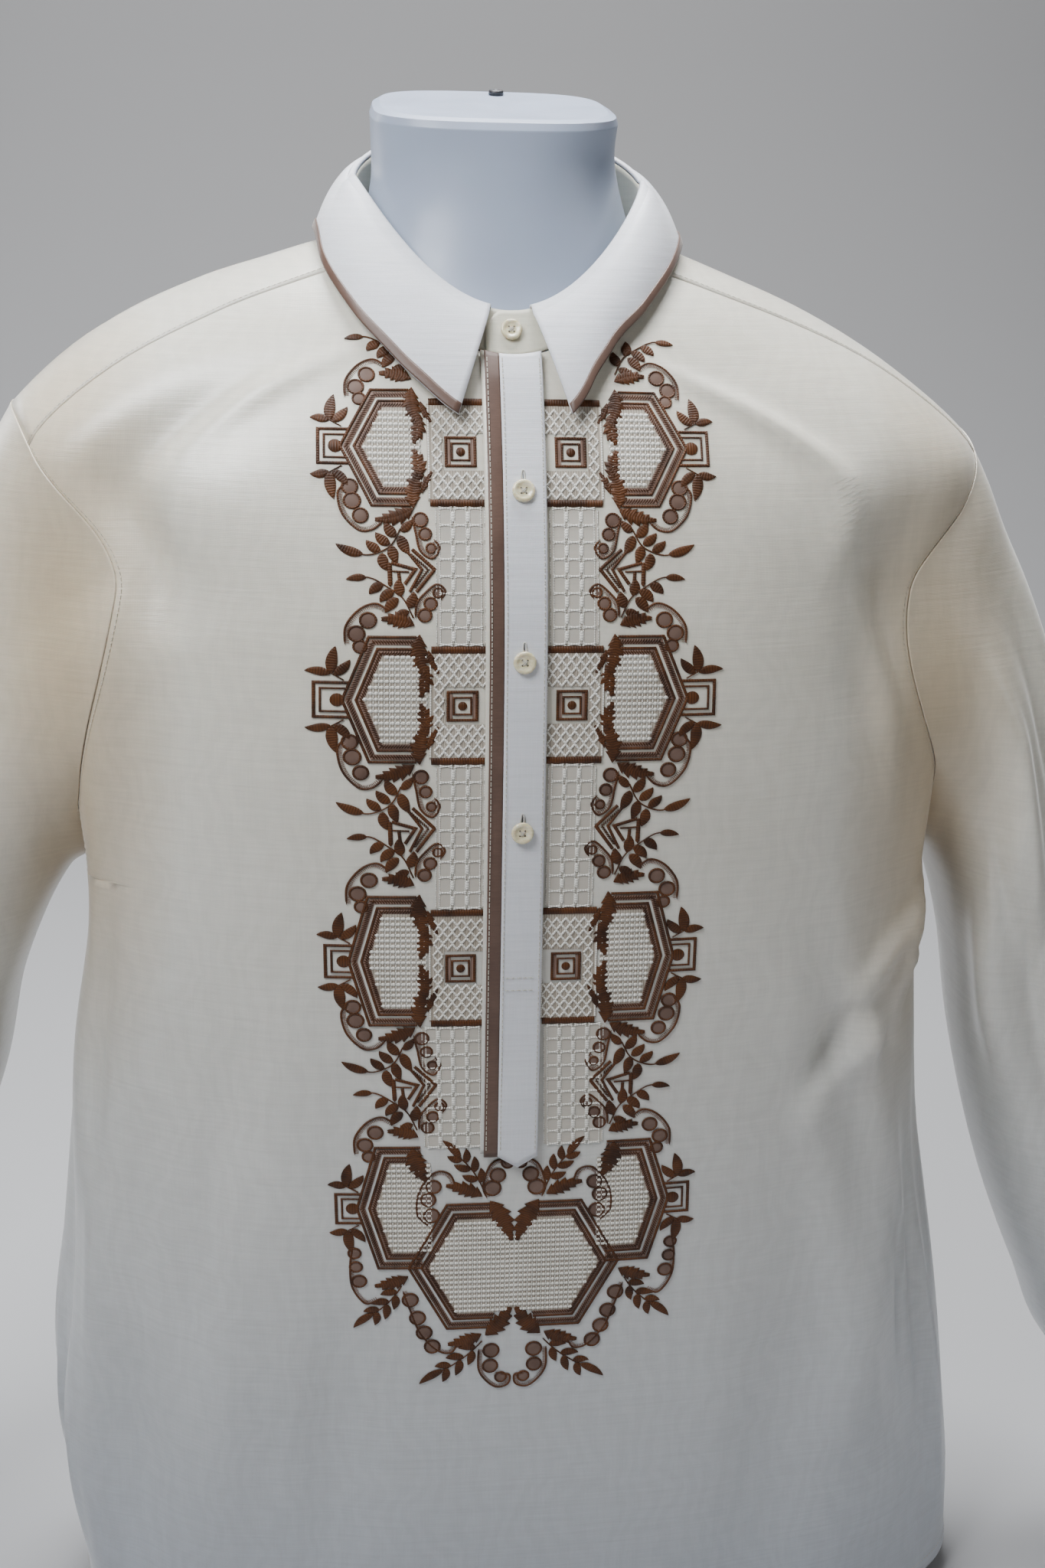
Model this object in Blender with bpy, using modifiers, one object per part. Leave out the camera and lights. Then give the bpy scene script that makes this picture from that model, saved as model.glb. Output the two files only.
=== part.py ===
"""Barong tagalog shirt buttoned onto a limbless dress form that stands on its flat oval base.

Metres, +Z up. The shirt's front faces -Y and +X is the wearer's left. The origin is the centre of the form's
underside. Every cloth piece is an open surface with a wall thickness, and pieces stay a seam gap apart.
"""
from collections import namedtuple

import bpy
import numpy as np
from mathutils import Vector

CLOTH = 0.0016          # wall of the sheer cloth
COLLAR_CLOTH = 0.0014   # wall of the interlined collar, placket and cuffs
SEAM_GAP = 0.0005       # between neighbouring pieces, measured on the outside
LAY_GAP = 0.0004        # between a panel and what lies on it
HEM_EXTRA = 0.0008      # a turned hem is this much thicker

# Loops of the body from hem to neckline, seen from the front. t runs up the garment, left and right are half
# widths with the heights there, front and back are depths from the centre line with the heights there, and
# square is the loop's fullness (2 is an ellipse).
BODY_COLUMNS = ("t", "left", "right", "z_left", "z_right", "front", "back", "z_front", "z_back", "square")
BODY_LEVELS = (
    (-0.05, 0.252, 0.305, 0.016, 0.016, 0.127, 0.122, 0.014, 0.016, 2.5),
    (0.00, 0.254, 0.302, 0.052, 0.052, 0.128, 0.122, 0.048, 0.052, 2.5),
    (0.12, 0.257, 0.292, 0.136, 0.136, 0.131, 0.122, 0.132, 0.136, 2.5),
    (0.25, 0.255, 0.279, 0.232, 0.232, 0.134, 0.120, 0.228, 0.232, 2.5),
    (0.42, 0.245, 0.262, 0.355, 0.355, 0.137, 0.116, 0.352, 0.358, 2.5),
    (0.60, 0.228, 0.250, 0.495, 0.495, 0.139, 0.117, 0.498, 0.500, 2.6),
    (0.70, 0.231, 0.249, 0.576, 0.574, 0.139, 0.119, 0.582, 0.588, 2.6),
    (0.79, 0.243, 0.252, 0.656, 0.652, 0.134, 0.116, 0.655, 0.668, 2.5),
    (0.88, 0.261, 0.262, 0.745, 0.737, 0.116, 0.102, 0.719, 0.744, 2.3),
    (0.91, 0.218, 0.218, 0.782, 0.771, 0.109, 0.092, 0.736, 0.775, 2.2),
    (0.94, 0.167, 0.168, 0.808, 0.799, 0.102, 0.082, 0.751, 0.802, 2.1),
    (0.97, 0.119, 0.120, 0.824, 0.819, 0.095, 0.071, 0.764, 0.827, 2.1),
    (1.00, 0.080, 0.080, 0.836, 0.834, 0.087, 0.061, 0.776, 0.848, 2.0),
)
FRONT_HEM_T = -0.05     # the front hangs this much lower than the back
ARMPIT_T = 0.60
TIP_T = 0.88
# How far the armhole reaches forward or back of the side in degrees, how square its curve is, and how much
# further it reaches in its upper half.
ARMHOLE_FRONT = {-1: (36.0, 0.60, 0.40), 1: (35.0, 1.10, 0.25)}
ARMHOLE_BACK = (31.0, 0.85, 0.10)
SHOULDER_SEAM_T = 0.868  # where the front shoulder seam leaves the armhole
YOKE_BACK_T = 0.862     # where the back yoke seam leaves the armhole
SEAM_NECK = 62.0        # degrees round the neckline where the shoulder seam ends

# Folds that stand proud of a surface (height above zero) or sink into it, each along a bent path from its first to
# its second place. On the body a place is an angle and a t, on a sleeve an angle round it and a w.
Fold = namedtuple("Fold", "side a0 t0 bend a1 t1 width height")
BODY_FOLDS = (
    (-1, 38, 0.92, 4, 42, 0.76, 0.024, -0.018),
    (-1, 50, 0.80, 6, 64, 0.52, 0.026, 0.012),
    (-1, 70, 0.62, 3, 64, 0.30, 0.026, 0.005),
    (-1, 38, 0.44, -1, 36, 0.04, 0.013, 0.004),
    (-1, 52, 0.26, 2, 50, -0.04, 0.030, -0.009),
    (-1, 20, 0.30, 2, 24, -0.04, 0.026, -0.005),
    (-1, 68, 0.28, 0, 66, -0.04, 0.022, 0.006),
    (1, 54, 0.80, 4, 64, 0.54, 0.024, 0.011),
    (1, 44, 0.88, 3, 46, 0.70, 0.024, -0.010),
    (1, 72, 0.57, -10, 48, 0.44, 0.016, 0.010),
    (1, 60, 0.53, -8, 42, 0.44, 0.014, -0.008),
    (1, 52, 0.46, 4, 40, 0.10, 0.022, 0.009),
    (1, 62, 0.44, 2, 58, -0.04, 0.024, -0.010),
    (1, 30, 0.30, 2, 28, -0.04, 0.026, -0.005),
    (1, 74, 0.36, 1, 70, -0.04, 0.020, 0.006),
    (-1, 118, 0.58, 3, 124, 0.10, 0.026, 0.008),
    (-1, 138, 0.66, -2, 142, -0.04, 0.024, -0.008),
    (-1, 164, 0.52, 1, 160, -0.04, 0.026, 0.007),
    (1, 116, 0.56, -3, 124, 0.04, 0.024, 0.008),
    (1, 134, 0.70, 2, 144, 0.10, 0.026, -0.008),
    (1, 158, 0.48, -1, 166, -0.04, 0.028, 0.007),
    (1, 112, 0.84, 2, 118, 0.62, 0.022, -0.007),
    (-1, 112, 0.86, -2, 120, 0.64, 0.022, -0.007),
)
FOLD_GIRTH = 0.20       # metres of cloth to a radian of a, for a fold's own width
FOLD_RISE = 0.80        # metres of cloth to a whole t

# Sleeve sections from the armhole (w 0) to the cuff seam (w 1): the outer and the inner edge as distance from the
# centre line and height, on the wearer's right (viewer's left) and on the wearer's left, then the half depth.
SLEEVE_COLUMNS = ("w", "out_l", "out_z_l", "in_l", "in_z_l", "out_r", "out_z_r", "in_r", "in_z_r", "depth", "back")
SLEEVE_LEVELS = (
    (0.00, 0.261, 0.745, 0.228, 0.495, 0.262, 0.737, 0.250, 0.495, 0.076, 0.004),
    (0.04, 0.273, 0.725, 0.236, 0.485, 0.272, 0.719, 0.258, 0.485, 0.075, 0.004),
    (0.10, 0.290, 0.692, 0.247, 0.468, 0.286, 0.690, 0.268, 0.468, 0.073, 0.004),
    (0.17, 0.308, 0.658, 0.258, 0.446, 0.303, 0.658, 0.277, 0.444, 0.070, 0.004),
    (0.25, 0.327, 0.619, 0.270, 0.416, 0.320, 0.620, 0.285, 0.414, 0.067, 0.003),
    (0.40, 0.364, 0.538, 0.284, 0.355, 0.351, 0.540, 0.295, 0.354, 0.063, 0.002),
    (0.60, 0.409, 0.420, 0.318, 0.270, 0.388, 0.420, 0.318, 0.266, 0.058, -0.002),
    (0.80, 0.446, 0.305, 0.353, 0.200, 0.421, 0.304, 0.346, 0.192, 0.053, -0.008),
    (0.93, 0.467, 0.228, 0.381, 0.158, 0.441, 0.226, 0.366, 0.148, 0.047, -0.013),
    (1.00, 0.474, 0.196, 0.401, 0.148, 0.448, 0.194, 0.386, 0.137, 0.038, -0.016),
)
BLEND_LOW = 0.07        # the armhole's own curve fades out over this much of the sleeve, under the arm
BLEND_HIGH = 0.28       # and at the shoulder
UNDERARM_ROOM = 0.0045  # the sleeve stands this far off the side below the armpit
SLEEVE_FOLDS = (
    (1, 78, 0.08, 8, 96, 0.40, 0.018, -0.016),
    (1, 46, 0.04, 6, 60, 0.56, 0.014, 0.009),
    (1, 112, 0.22, 4, 98, 0.72, 0.014, 0.009),
    (1, 136, 0.16, 3, 128, 0.50, 0.014, -0.010),
    (1, 80, 0.60, 4, 66, 0.96, 0.014, 0.005),
    (-1, 62, 0.04, 6, 78, 0.36, 0.020, 0.006),
    (-1, 96, 0.14, 6, 108, 0.50, 0.016, -0.009),
    (-1, 130, 0.20, 3, 118, 0.62, 0.014, 0.006),
    (-1, 84, 0.56, 4, 70, 0.96, 0.014, 0.005),
    (1, -70, 0.10, 5, -96, 0.44, 0.016, -0.009),
    (1, -112, 0.30, 4, -92, 0.84, 0.015, 0.006),
    (-1, -74, 0.12, 5, -98, 0.48, 0.016, -0.009),
    (-1, -110, 0.34, 4, -94, 0.86, 0.015, 0.006),
)
SLEEVE_GIRTH = 0.065    # metres of cloth to a radian round a sleeve
SLEEVE_LENGTH = 0.55

CUFF_DROP = {-1: (0.022, -0.058), 1: (0.020, -0.0585)}   # along its axis, outward and down
CUFF_OVERLAP = 30.0     # degrees of overlap at the button
CUFF_LAP_AT = -100.0    # the lap starts here, at the back of the wrist
CUFF_COLUMNS = 30

VENT_T = {-1: 0.215, 1: 0.135}   # the side seam is open below this level
HEM_BAND = 0.012
VENT_BAND = 0.018
PANEL_HALF_GIRTH = 0.40  # cloth from the centre line to a side seam

# Placket, measured across from its centre line and down from the neckline.
PLACKET_HALF = 0.0145
STRIPE_WIDTH = 0.0075
PLACKET_TIP_Z = 0.350
PLACKET_POINT = 0.007
UNDERLAP_HALF = 0.0162
SLIT_HALF = 0.0012
SLIT_END_Z = 0.376
BUTTON_X = 0.0030
BUTTON_Z = {"button_upper": 0.711, "button_middle": 0.629, "button_lower": 0.541}
BUTTON_RADIUS = 0.0058
BUTTON_THICKNESS = 0.0024
BUTTON_EDGE = 0.0006
CUFF_BUTTON_LIFT = 0.0021  # its flat back has to clear the curved cuff

# Collar: the fold line round the neck, and the fall's free edge laid on the shirt.
FOLD_HALF_WIDTH = 0.0785
FOLD_FRONT = 0.077
FOLD_BACK = 0.062
FOLD_Z_FRONT = 0.798
FOLD_Z_SIDE = 0.863
FOLD_Z_BACK = 0.892
FOLD_DIP_FRONT = 2.0   # how sharply the fold line dips at the front, and rises at the back
FOLD_DIP_BACK = 1.2
FALL_START = 7.5        # degrees from the centre front where each half of the fall begins
FALL_COLUMNS = ("v", "a", "t_right", "t_left")
FALL_EDGE = (   # from the tip round to the centre back, with a level for the wearer's right half and left half
    (0.00, 8.7, 0.928, 0.929),
    (0.06, 17.0, 0.948, 0.959),
    (0.12, 25.0, 0.960, 0.974),
    (0.26, 42.0, 0.973, 0.984),
    (0.40, 60.0, 0.9805, 0.987),
    (0.54, 78.0, 0.987, 0.988),
    (0.70, 105.0, 0.987, 0.987),
    (0.85, 140.0, 0.982, 0.982),
    (1.00, 180.0, 0.978, 0.978),
)
FALL_CLEARANCE = 0.0034
TRIM_WIDTH = 0.0058
TRIM_CLOTH = 0.0010
STAND_OVERLAP = 9.5     # degrees past the centre front at each end of the stand
STAND_LAP = 0.0012      # each of the two ends moves this far, out or in, where they overlap
STAND_BASE_LIFT = -0.0001
STAND_TOP_DROP = 0.0002
FALL_TOP_LIFT = -0.0003
STAND_BUTTON_RADIUS = 0.0055

# Dress form, from its base up, with the same columns as the body but one half width.
FORM_COLUMNS = ("t", "half", "z_side", "front", "back", "z_front", "z_back", "square")
FORM_TORSO = (
    (0.00, 0.166, 0.000, 0.094, 0.088, 0.000, 0.000, 2.4),
    (0.05, 0.172, 0.040, 0.099, 0.092, 0.040, 0.040, 2.4),
    (0.18, 0.178, 0.140, 0.104, 0.096, 0.140, 0.140, 2.4),
    (0.34, 0.166, 0.280, 0.104, 0.090, 0.280, 0.280, 2.3),
    (0.48, 0.162, 0.400, 0.108, 0.088, 0.400, 0.400, 2.3),
    (0.62, 0.176, 0.520, 0.118, 0.096, 0.520, 0.520, 2.3),
    (0.72, 0.186, 0.600, 0.124, 0.102, 0.590, 0.600, 2.3),
    (0.80, 0.194, 0.676, 0.121, 0.102, 0.648, 0.670, 2.3),
    (0.86, 0.196, 0.732, 0.111, 0.094, 0.692, 0.722, 2.3),
    (0.90, 0.186, 0.774, 0.103, 0.084, 0.722, 0.758, 2.2),
)
FORM_SEAT_T = (0.935, 0.950, 0.965, 0.980)   # levels where the form fills the shirt's shoulders
FORM_SEAT_GAP = 0.0007
FORM_FRONT_ROOM = 0.008                      # the form's chest and nape stay this much further in
FORM_NECK = (
    (1.00, 0.0735, 0.832, 0.076, 0.0550, 0.785, 0.843, 2.1),
    (1.02, 0.0700, 0.846, 0.066, 0.0535, 0.808, 0.858, 2.1),
    (1.05, 0.0660, 0.864, 0.057, 0.0525, 0.842, 0.876, 2.1),
    (1.08, 0.0650, 0.880, 0.053, 0.0540, 0.868, 0.8905, 2.3),
    (1.11, 0.0655, 0.896, 0.052, 0.0555, 0.8855, 0.9055, 3.0),
    (1.12, 0.0640, 0.900, 0.050, 0.0550, 0.8895, 0.9095, 3.4),
    (1.13, 0.0600, 0.902, 0.046, 0.0510, 0.8915, 0.9115, 3.4),
)
NECK_LEAN = -0.0030                          # the neck block stands this far to the wearer's right
FORM_CUT_LOOPS = 4                           # the uppermost loops are flat and parallel to the neck's cut
FORM_SIDES = 32
STUD_AT = (0.002, 0.038)                     # across and back, on the cut
STUD_RADIUS = 0.0042

MATERIALS = {   # base colour, roughness
    "cloth": ((0.83, 0.80, 0.70), 0.55),
    "collar_cloth": ((0.86, 0.85, 0.83), 0.60),
    "brown_satin": ((0.42, 0.27, 0.20), 0.40),
    "pearl": ((0.86, 0.82, 0.66), 0.20),
    "form_plastic": ((0.80, 0.84, 0.90), 0.35),
    "dark_fitting": ((0.05, 0.05, 0.06), 0.45),
}


def clear_scene():
    for thing in list(bpy.data.objects):
        bpy.data.objects.remove(thing, do_unlink=True)


def column_reader(columns, rows):
    """Returns read(name, at): a smooth curve through one column of a table, over its first column."""
    table = {name: np.array([row[i] for row in rows], float) for i, name in enumerate(columns)}
    knots = table[columns[0]]

    def read(name, at):
        values = table[name]
        slopes = np.gradient(values, knots)
        at = np.clip(np.asarray(at, float), knots[0], knots[-1])
        i = np.clip(np.searchsorted(knots, at, side="right") - 1, 0, len(knots) - 2)
        step = knots[i + 1] - knots[i]
        s = (at - knots[i]) / step
        keep = (1 + 2 * s) * (1 - s) ** 2 * values[i] + s * s * (3 - 2 * s) * values[i + 1]
        return keep + step * s * (1 - s) * ((1 - s) * slopes[i] - s * slopes[i + 1])

    return read


body_level = column_reader(BODY_COLUMNS, BODY_LEVELS)
sleeve_level = column_reader(SLEEVE_COLUMNS, SLEEVE_LEVELS)
fall_edge = column_reader(FALL_COLUMNS, FALL_EDGE)


def smooth(x):
    x = np.clip(x, 0.0, 1.0)
    return x * x * (3 - 2 * x)


def loop_point(angle, half, z_side, front, back, z_front, z_back, square):
    """A point of a horizontal loop. angle is in degrees: 0 is the centre front and 90 is the +X side."""
    turn = np.radians(angle)
    across, along = np.sin(turn), np.cos(turn)
    full = (np.abs(across) ** square + np.abs(along) ** square) ** (-1 / square)
    ahead = along > 0
    depth = np.where(ahead, front, back)
    z_end = np.where(ahead, z_front, z_back)
    return np.stack([full * half * across, -full * depth * along, z_side + (z_end - z_side) * along ** 2], -1)


def fold_height(first, second, folds, metres_first, metres_second):
    """The sum of all folds at (first, second), the two surface coordinates, in metres along the normal."""
    total = np.zeros(np.broadcast(first, second).shape)
    steps = np.linspace(0.0, 1.0, 15)
    for fold in (Fold(*row) for row in folds):
        path_a = fold.side * (fold.a0 + (fold.a1 - fold.a0) * steps + fold.bend * 4 * steps * (1 - steps))
        path_t = fold.t0 + (fold.t1 - fold.t0) * steps
        near = np.full(total.shape, np.inf)
        fade = np.zeros(total.shape)
        for a, t, s in zip(path_a, path_t, steps):
            gap = np.hypot(np.radians(first - a) * metres_first, (second - t) * metres_second)
            closer = gap < near
            near = np.where(closer, gap, near)
            fade = np.where(closer, np.sin(np.pi * (0.12 + 0.76 * s)) ** 1.2, fade)
        total += fold.height * fade * np.exp(-((near / fold.width) ** 2))
    return total


def normals_of(surface, first, second, step_first, step_second):
    along_first = surface(first + step_first, second) - surface(first - step_first, second)
    along_second = surface(first, second + step_second) - surface(first, second - step_second)
    normal = np.cross(along_first, along_second)
    return normal / np.linalg.norm(normal, axis=-1, keepdims=True)


def plain_body(angle, t):
    wrapped = (np.asarray(angle, float) + 180.0) % 360.0 - 180.0
    on_left = wrapped < 0
    half = np.where(on_left, body_level("left", t), body_level("right", t))
    z_side = np.where(on_left, body_level("z_left", t), body_level("z_right", t))
    return loop_point(wrapped, half, z_side, *(body_level(name, t) for name in BODY_COLUMNS[5:]))


def body_normal(angle, t):
    return normals_of(plain_body, angle, np.minimum(t, 0.998), 0.5, 0.002)


def body_point(angle, t, out=0.0):
    """A point of the shirt's body with its folds, moved out by a distance."""
    wrapped = (np.asarray(angle, float) + 180.0) % 360.0 - 180.0
    calm = smooth((1.0 - t) / 0.10) * smooth((np.abs(wrapped) - 6.0) / 14.0)
    calm = calm * (1 - np.exp(-(((np.abs(wrapped) - 90.0) / 24.0) ** 2) - ((t - ARMPIT_T) / 0.08) ** 2))
    raised = fold_height(wrapped, t, BODY_FOLDS, FOLD_GIRTH, FOLD_RISE) * calm + out
    return plain_body(angle, t) + body_normal(angle, t) * np.asarray(raised)[..., None]


def armhole(side, q):
    """The armhole's (angle, t) at q degrees round it: 0 at the shoulder tip, 90 in front, 180 at the armpit."""
    turn = np.radians(q)
    front, front_shape, front_high = ARMHOLE_FRONT[side]
    back, back_shape, back_high = ARMHOLE_BACK
    ahead = np.sin(turn) > 0
    reach = np.where(ahead, front, -back) * (1 + np.where(ahead, front_high, back_high) * np.cos(turn))
    shape = np.where(ahead, front_shape, back_shape)
    middle, radius = (TIP_T + ARMPIT_T) / 2, (TIP_T - ARMPIT_T) / 2
    return 90.0 - reach * np.abs(np.sin(turn)) ** shape, middle + radius * np.cos(turn)


def armhole_q(t):
    """How far round the armhole the level t lies."""
    middle, radius = (TIP_T + ARMPIT_T) / 2, (TIP_T - ARMPIT_T) / 2
    return np.degrees(np.arccos(np.clip((t - middle) / radius, -1, 1)))


def sleeve_ring(side, q, w):
    """A sleeve's section without the armhole's pull or folds."""
    turn = np.radians(q)
    tail = "_r" if side > 0 else "_l"
    outer = np.stack([sleeve_level("out" + tail, w), sleeve_level("out_z" + tail, w)], -1)
    inner = np.stack([sleeve_level("in" + tail, w), sleeve_level("in_z" + tail, w)], -1)
    full = (np.abs(np.sin(turn)) ** 2.3 + np.abs(np.cos(turn)) ** 2.3) ** (-1 / 2.3)
    flat = (outer + inner) / 2 + (outer - inner) / 2 * (full * np.cos(turn))[..., None]
    y = sleeve_level("back", w) - sleeve_level("depth", w) * full * np.sin(turn)
    return np.stack([side * flat[..., 0], y, flat[..., 1]], -1)


def plain_sleeve(side, q, w):
    ring = sleeve_ring(side, q, w)
    angle, t = armhole(side, q)
    start = body_point(side * angle, t)
    fade = BLEND_LOW + (BLEND_HIGH - BLEND_LOW) * (0.5 + 0.5 * np.cos(np.radians(q)))
    pull = (1 - np.clip(w / fade, 0, 1)) ** 2
    place = ring + (start - sleeve_ring(side, q, np.zeros_like(w))) * pull[..., None]
    below = (0.5 - 0.5 * np.cos(np.radians(q))) ** 3
    place[..., 0] += side * below * (3 * SEAM_GAP + UNDERARM_ROOM * smooth(w / 0.04))
    return place


def sleeve_point(side, q, w, out=0.0):
    q, w = np.broadcast_arrays(np.asarray(q, float), np.asarray(w, float))
    wrapped = (q + 180.0) % 360.0 - 180.0
    folds = [(1,) + row[1:] for row in SLEEVE_FOLDS if row[0] == side]
    calm = smooth(w / 0.06) * smooth((1 - w) / 0.08)
    raised = fold_height(wrapped, w, folds, SLEEVE_GIRTH, SLEEVE_LENGTH) * calm + out

    def surface(around, along):
        return plain_sleeve(side, around, along)

    inside = np.clip(w, 0.003, 0.997)
    normal = normals_of(surface, wrapped, inside, 1.0, 0.003) * -side
    return plain_sleeve(side, wrapped, w) + normal * raised[..., None]


def get_material(name):
    material = bpy.data.materials.get(name)
    if material is None:
        colour, roughness = MATERIALS[name]
        material = bpy.data.materials.new(name)
        material.use_nodes = True
        shader = material.node_tree.nodes["Principled BSDF"]
        shader.inputs["Base Color"].default_value = (*colour, 1.0)
        shader.inputs["Roughness"].default_value = roughness
        shader.inputs["Metallic"].default_value = 0.0
        material.diffuse_color = (*colour, 1.0)
    return material


def add_piece(name, vertices, faces, material, parent):
    mesh = bpy.data.meshes.new(name)
    mesh.from_pydata([tuple(v) for v in vertices], [], faces)
    mesh.validate()
    mesh.shade_smooth()
    mesh.materials.append(get_material(material))
    piece = bpy.data.objects.new(name, mesh)
    parent.users_collection[0].objects.link(piece)
    piece.parent = parent
    return piece


def solidify(piece, thickness):
    """Gives an open surface its wall, inwards from the outside that the surface describes."""
    wall = piece.modifiers.new("wall", "SOLIDIFY")
    wall.thickness = thickness
    wall.offset = -1.0
    wall.use_rim = True
    return piece


def grid_faces(rows, columns, start=0, keep=None):
    """Quads of a grid of points stored row by row; keep(row, column) leaves some of them out."""
    faces = []
    for r in range(rows - 1):
        for c in range(columns - 1):
            if keep is None or keep(r, c):
                corner = start + r * columns + c
                faces.append((corner, corner + 1, corner + 1 + columns, corner + columns))
    return faces


def sheet_piece(name, points, material, parent, thickness, flip=False):
    """A cloth piece from a grid of points (rows, columns, 3)."""
    rows, columns = points.shape[:2]
    faces = grid_faces(rows, columns)
    if flip:
        faces = [face[::-1] for face in faces]
    return solidify(add_piece(name, points.reshape(-1, 3), faces, material, parent), thickness)


def thicken_hems(piece, weights):
    """Hem bands of a panel are doubled cloth: the wall grows where a vertex has weight 1."""
    group = piece.vertex_groups.new(name="hem")
    for index, weight in enumerate(weights):
        group.add([index], float(weight), "REPLACE")
    wall = piece.modifiers["wall"]
    wall.thickness = CLOTH + HEM_EXTRA
    wall.vertex_group = "hem"
    wall.thickness_vertex_group = CLOTH / (CLOTH + HEM_EXTRA)


def side_angle(side, t):
    """The front panel's outer edge: the side seam, the armhole, then the shoulder seam up to the neckline."""
    round_armhole = armhole(side, np.minimum(armhole_q(t), 179.99))[0]
    seam_start = armhole(side, armhole_q(SHOULDER_SEAM_T))[0]
    up_seam = (t - SHOULDER_SEAM_T) / (1 - SHOULDER_SEAM_T)
    on_seam = seam_start + (SEAM_NECK - seam_start) * up_seam
    return np.where(t <= ARMPIT_T, 90.0, np.where(t <= SHOULDER_SEAM_T, round_armhole, on_seam))


def back_angle(t):
    """The back panel's outer edge, up to the yoke seam."""
    round_armhole = armhole(1, -np.minimum(armhole_q(t), 179.99))[0]
    return np.where(t <= ARMPIT_T, 90.0, round_armhole)


def gap_angle(t, metres):
    """The turn that moves a point of the body sideways by a distance."""
    return np.degrees(metres / np.maximum(body_level("right", t), 0.05))


PANEL_TOP_T = 0.9992    # the neckline edge of the front and the yoke
LOW_ROWS = (0.018, 0.05, 0.095, 0.135, 0.175, 0.215, 0.26, 0.31, 0.36, 0.41, 0.46, 0.51, 0.555)


def armhole_rows(top_t, count):
    """Levels from the armpit to top_t, evenly spaced round the armhole."""
    return armhole(1, np.linspace(180.0, float(armhole_q(top_t)), count))[1]


def angle_at(x, t):
    """The angle at which the body's loop passes the distance x from the centre line."""
    half = np.where(x < 0, body_level("left", t), body_level("right", t))
    return np.degrees(np.arcsin(np.clip(x / half, -1, 1)))


def level_at(z):
    """The level at which the centre front passes the height z."""
    fine = np.linspace(0.0, 1.0, 801)
    return np.interp(z, body_level("z_front", fine), fine)


FRONT_ARMHOLE_ROWS = 12
BACK_ARMHOLE_ROWS = 12
SEAM_ROWS = 7
FRONT_COLUMNS = 11
BACK_COLUMNS = 21


def make_front(parent):
    """The front: two halves from the slit to the sides, joined below the slit."""
    slit_t = float(level_at(SLIT_END_Z))
    seam_rows = np.linspace(SHOULDER_SEAM_T, 1.0, SEAM_ROWS + 1)[1:]
    low = sorted(LOW_ROWS + (slit_t,))
    hem = (FRONT_HEM_T, FRONT_HEM_T + HEM_BAND / FOLD_RISE, -0.008)
    levels = np.concatenate([hem, low, armhole_rows(SHOULDER_SEAM_T, FRONT_ARMHOLE_ROWS), seam_rows])
    levels[-1] = PANEL_TOP_T
    rows = len(levels)
    vertices, weights = [], []
    for side in (-1, 1):
        for t in levels:
            edge = float(side_angle(side, t)) - float(gap_angle(t, SEAM_GAP))
            start = abs(float(angle_at(SLIT_HALF * side, t)))
            band = 1.0 - VENT_BAND / PANEL_HALF_GIRTH
            share = np.linspace(0.0, 1.0, FRONT_COLUMNS)
            share = np.append(share[:-1] * band, [1.0])
            angles = start + (edge - start) * share
            vertices.extend(body_point(side * angles, np.full(FRONT_COLUMNS, t)))
            in_vent = t < VENT_T[side]
            weights.extend([1.0 if t <= hem[1] or (in_vent and c >= FRONT_COLUMNS - 2) else 0.0
                            for c in range(FRONT_COLUMNS)])
    half_size = rows * FRONT_COLUMNS
    faces = [face[::-1] for face in grid_faces(rows, FRONT_COLUMNS)]
    faces += grid_faces(rows, FRONT_COLUMNS, start=half_size)
    closed = int(np.argmin(abs(levels - slit_t)))
    for r in range(closed):
        left, right = r * FRONT_COLUMNS, half_size + r * FRONT_COLUMNS
        faces.append((left, right, right + FRONT_COLUMNS, left + FRONT_COLUMNS))
    piece = solidify(add_piece("front", vertices, faces, "cloth", parent), CLOTH)
    thicken_hems(piece, weights)
    return piece


def make_back(parent):
    levels = np.concatenate([[0.0], LOW_ROWS, armhole_rows(YOKE_BACK_T, BACK_ARMHOLE_ROWS)])
    levels[-1] -= 0.0006
    vertices, weights = [], []
    for t in levels:
        edge = float(back_angle(t)) + float(gap_angle(t, SEAM_GAP))
        share = np.linspace(-1.0, 1.0, BACK_COLUMNS)
        angles = 180.0 + (180.0 - edge) * share
        vertices.extend(body_point(angles, np.full(BACK_COLUMNS, t)))
        for c in range(BACK_COLUMNS):
            side = 1 if c < BACK_COLUMNS / 2 else -1
            at_edge = c <= 1 or c >= BACK_COLUMNS - 2
            weights.append(1.0 if t <= LOW_ROWS[0] or (t < VENT_T[side] and at_edge) else 0.0)
    faces = grid_faces(len(levels), BACK_COLUMNS)
    piece = solidify(add_piece("back", vertices, faces, "cloth", parent), CLOTH)
    thicken_hems(piece, weights)
    return piece


YOKE_ARMHOLE_COLUMNS = 7
YOKE_BACK_COLUMNS = 9
YOKE_ROWS = 8


def yoke_rims(side):
    """The yoke's outer and inner rim on one side, as (angle, t), from the shoulder seam to the centre back."""
    q = np.linspace(float(armhole_q(SHOULDER_SEAM_T)), -float(armhole_q(YOKE_BACK_T)), YOKE_ARMHOLE_COLUMNS)
    outer_a, outer_t = armhole(side, q)
    across = np.linspace(outer_a[-1], 180.0, YOKE_BACK_COLUMNS + 1)[1:]
    outer_a = np.concatenate([outer_a, across])
    outer_t = np.concatenate([outer_t, np.full(YOKE_BACK_COLUMNS, YOKE_BACK_T)])
    inner_a = SEAM_NECK + (180.0 - SEAM_NECK) * np.linspace(0, 1, len(outer_a))
    return outer_a, outer_t, inner_a


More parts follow.
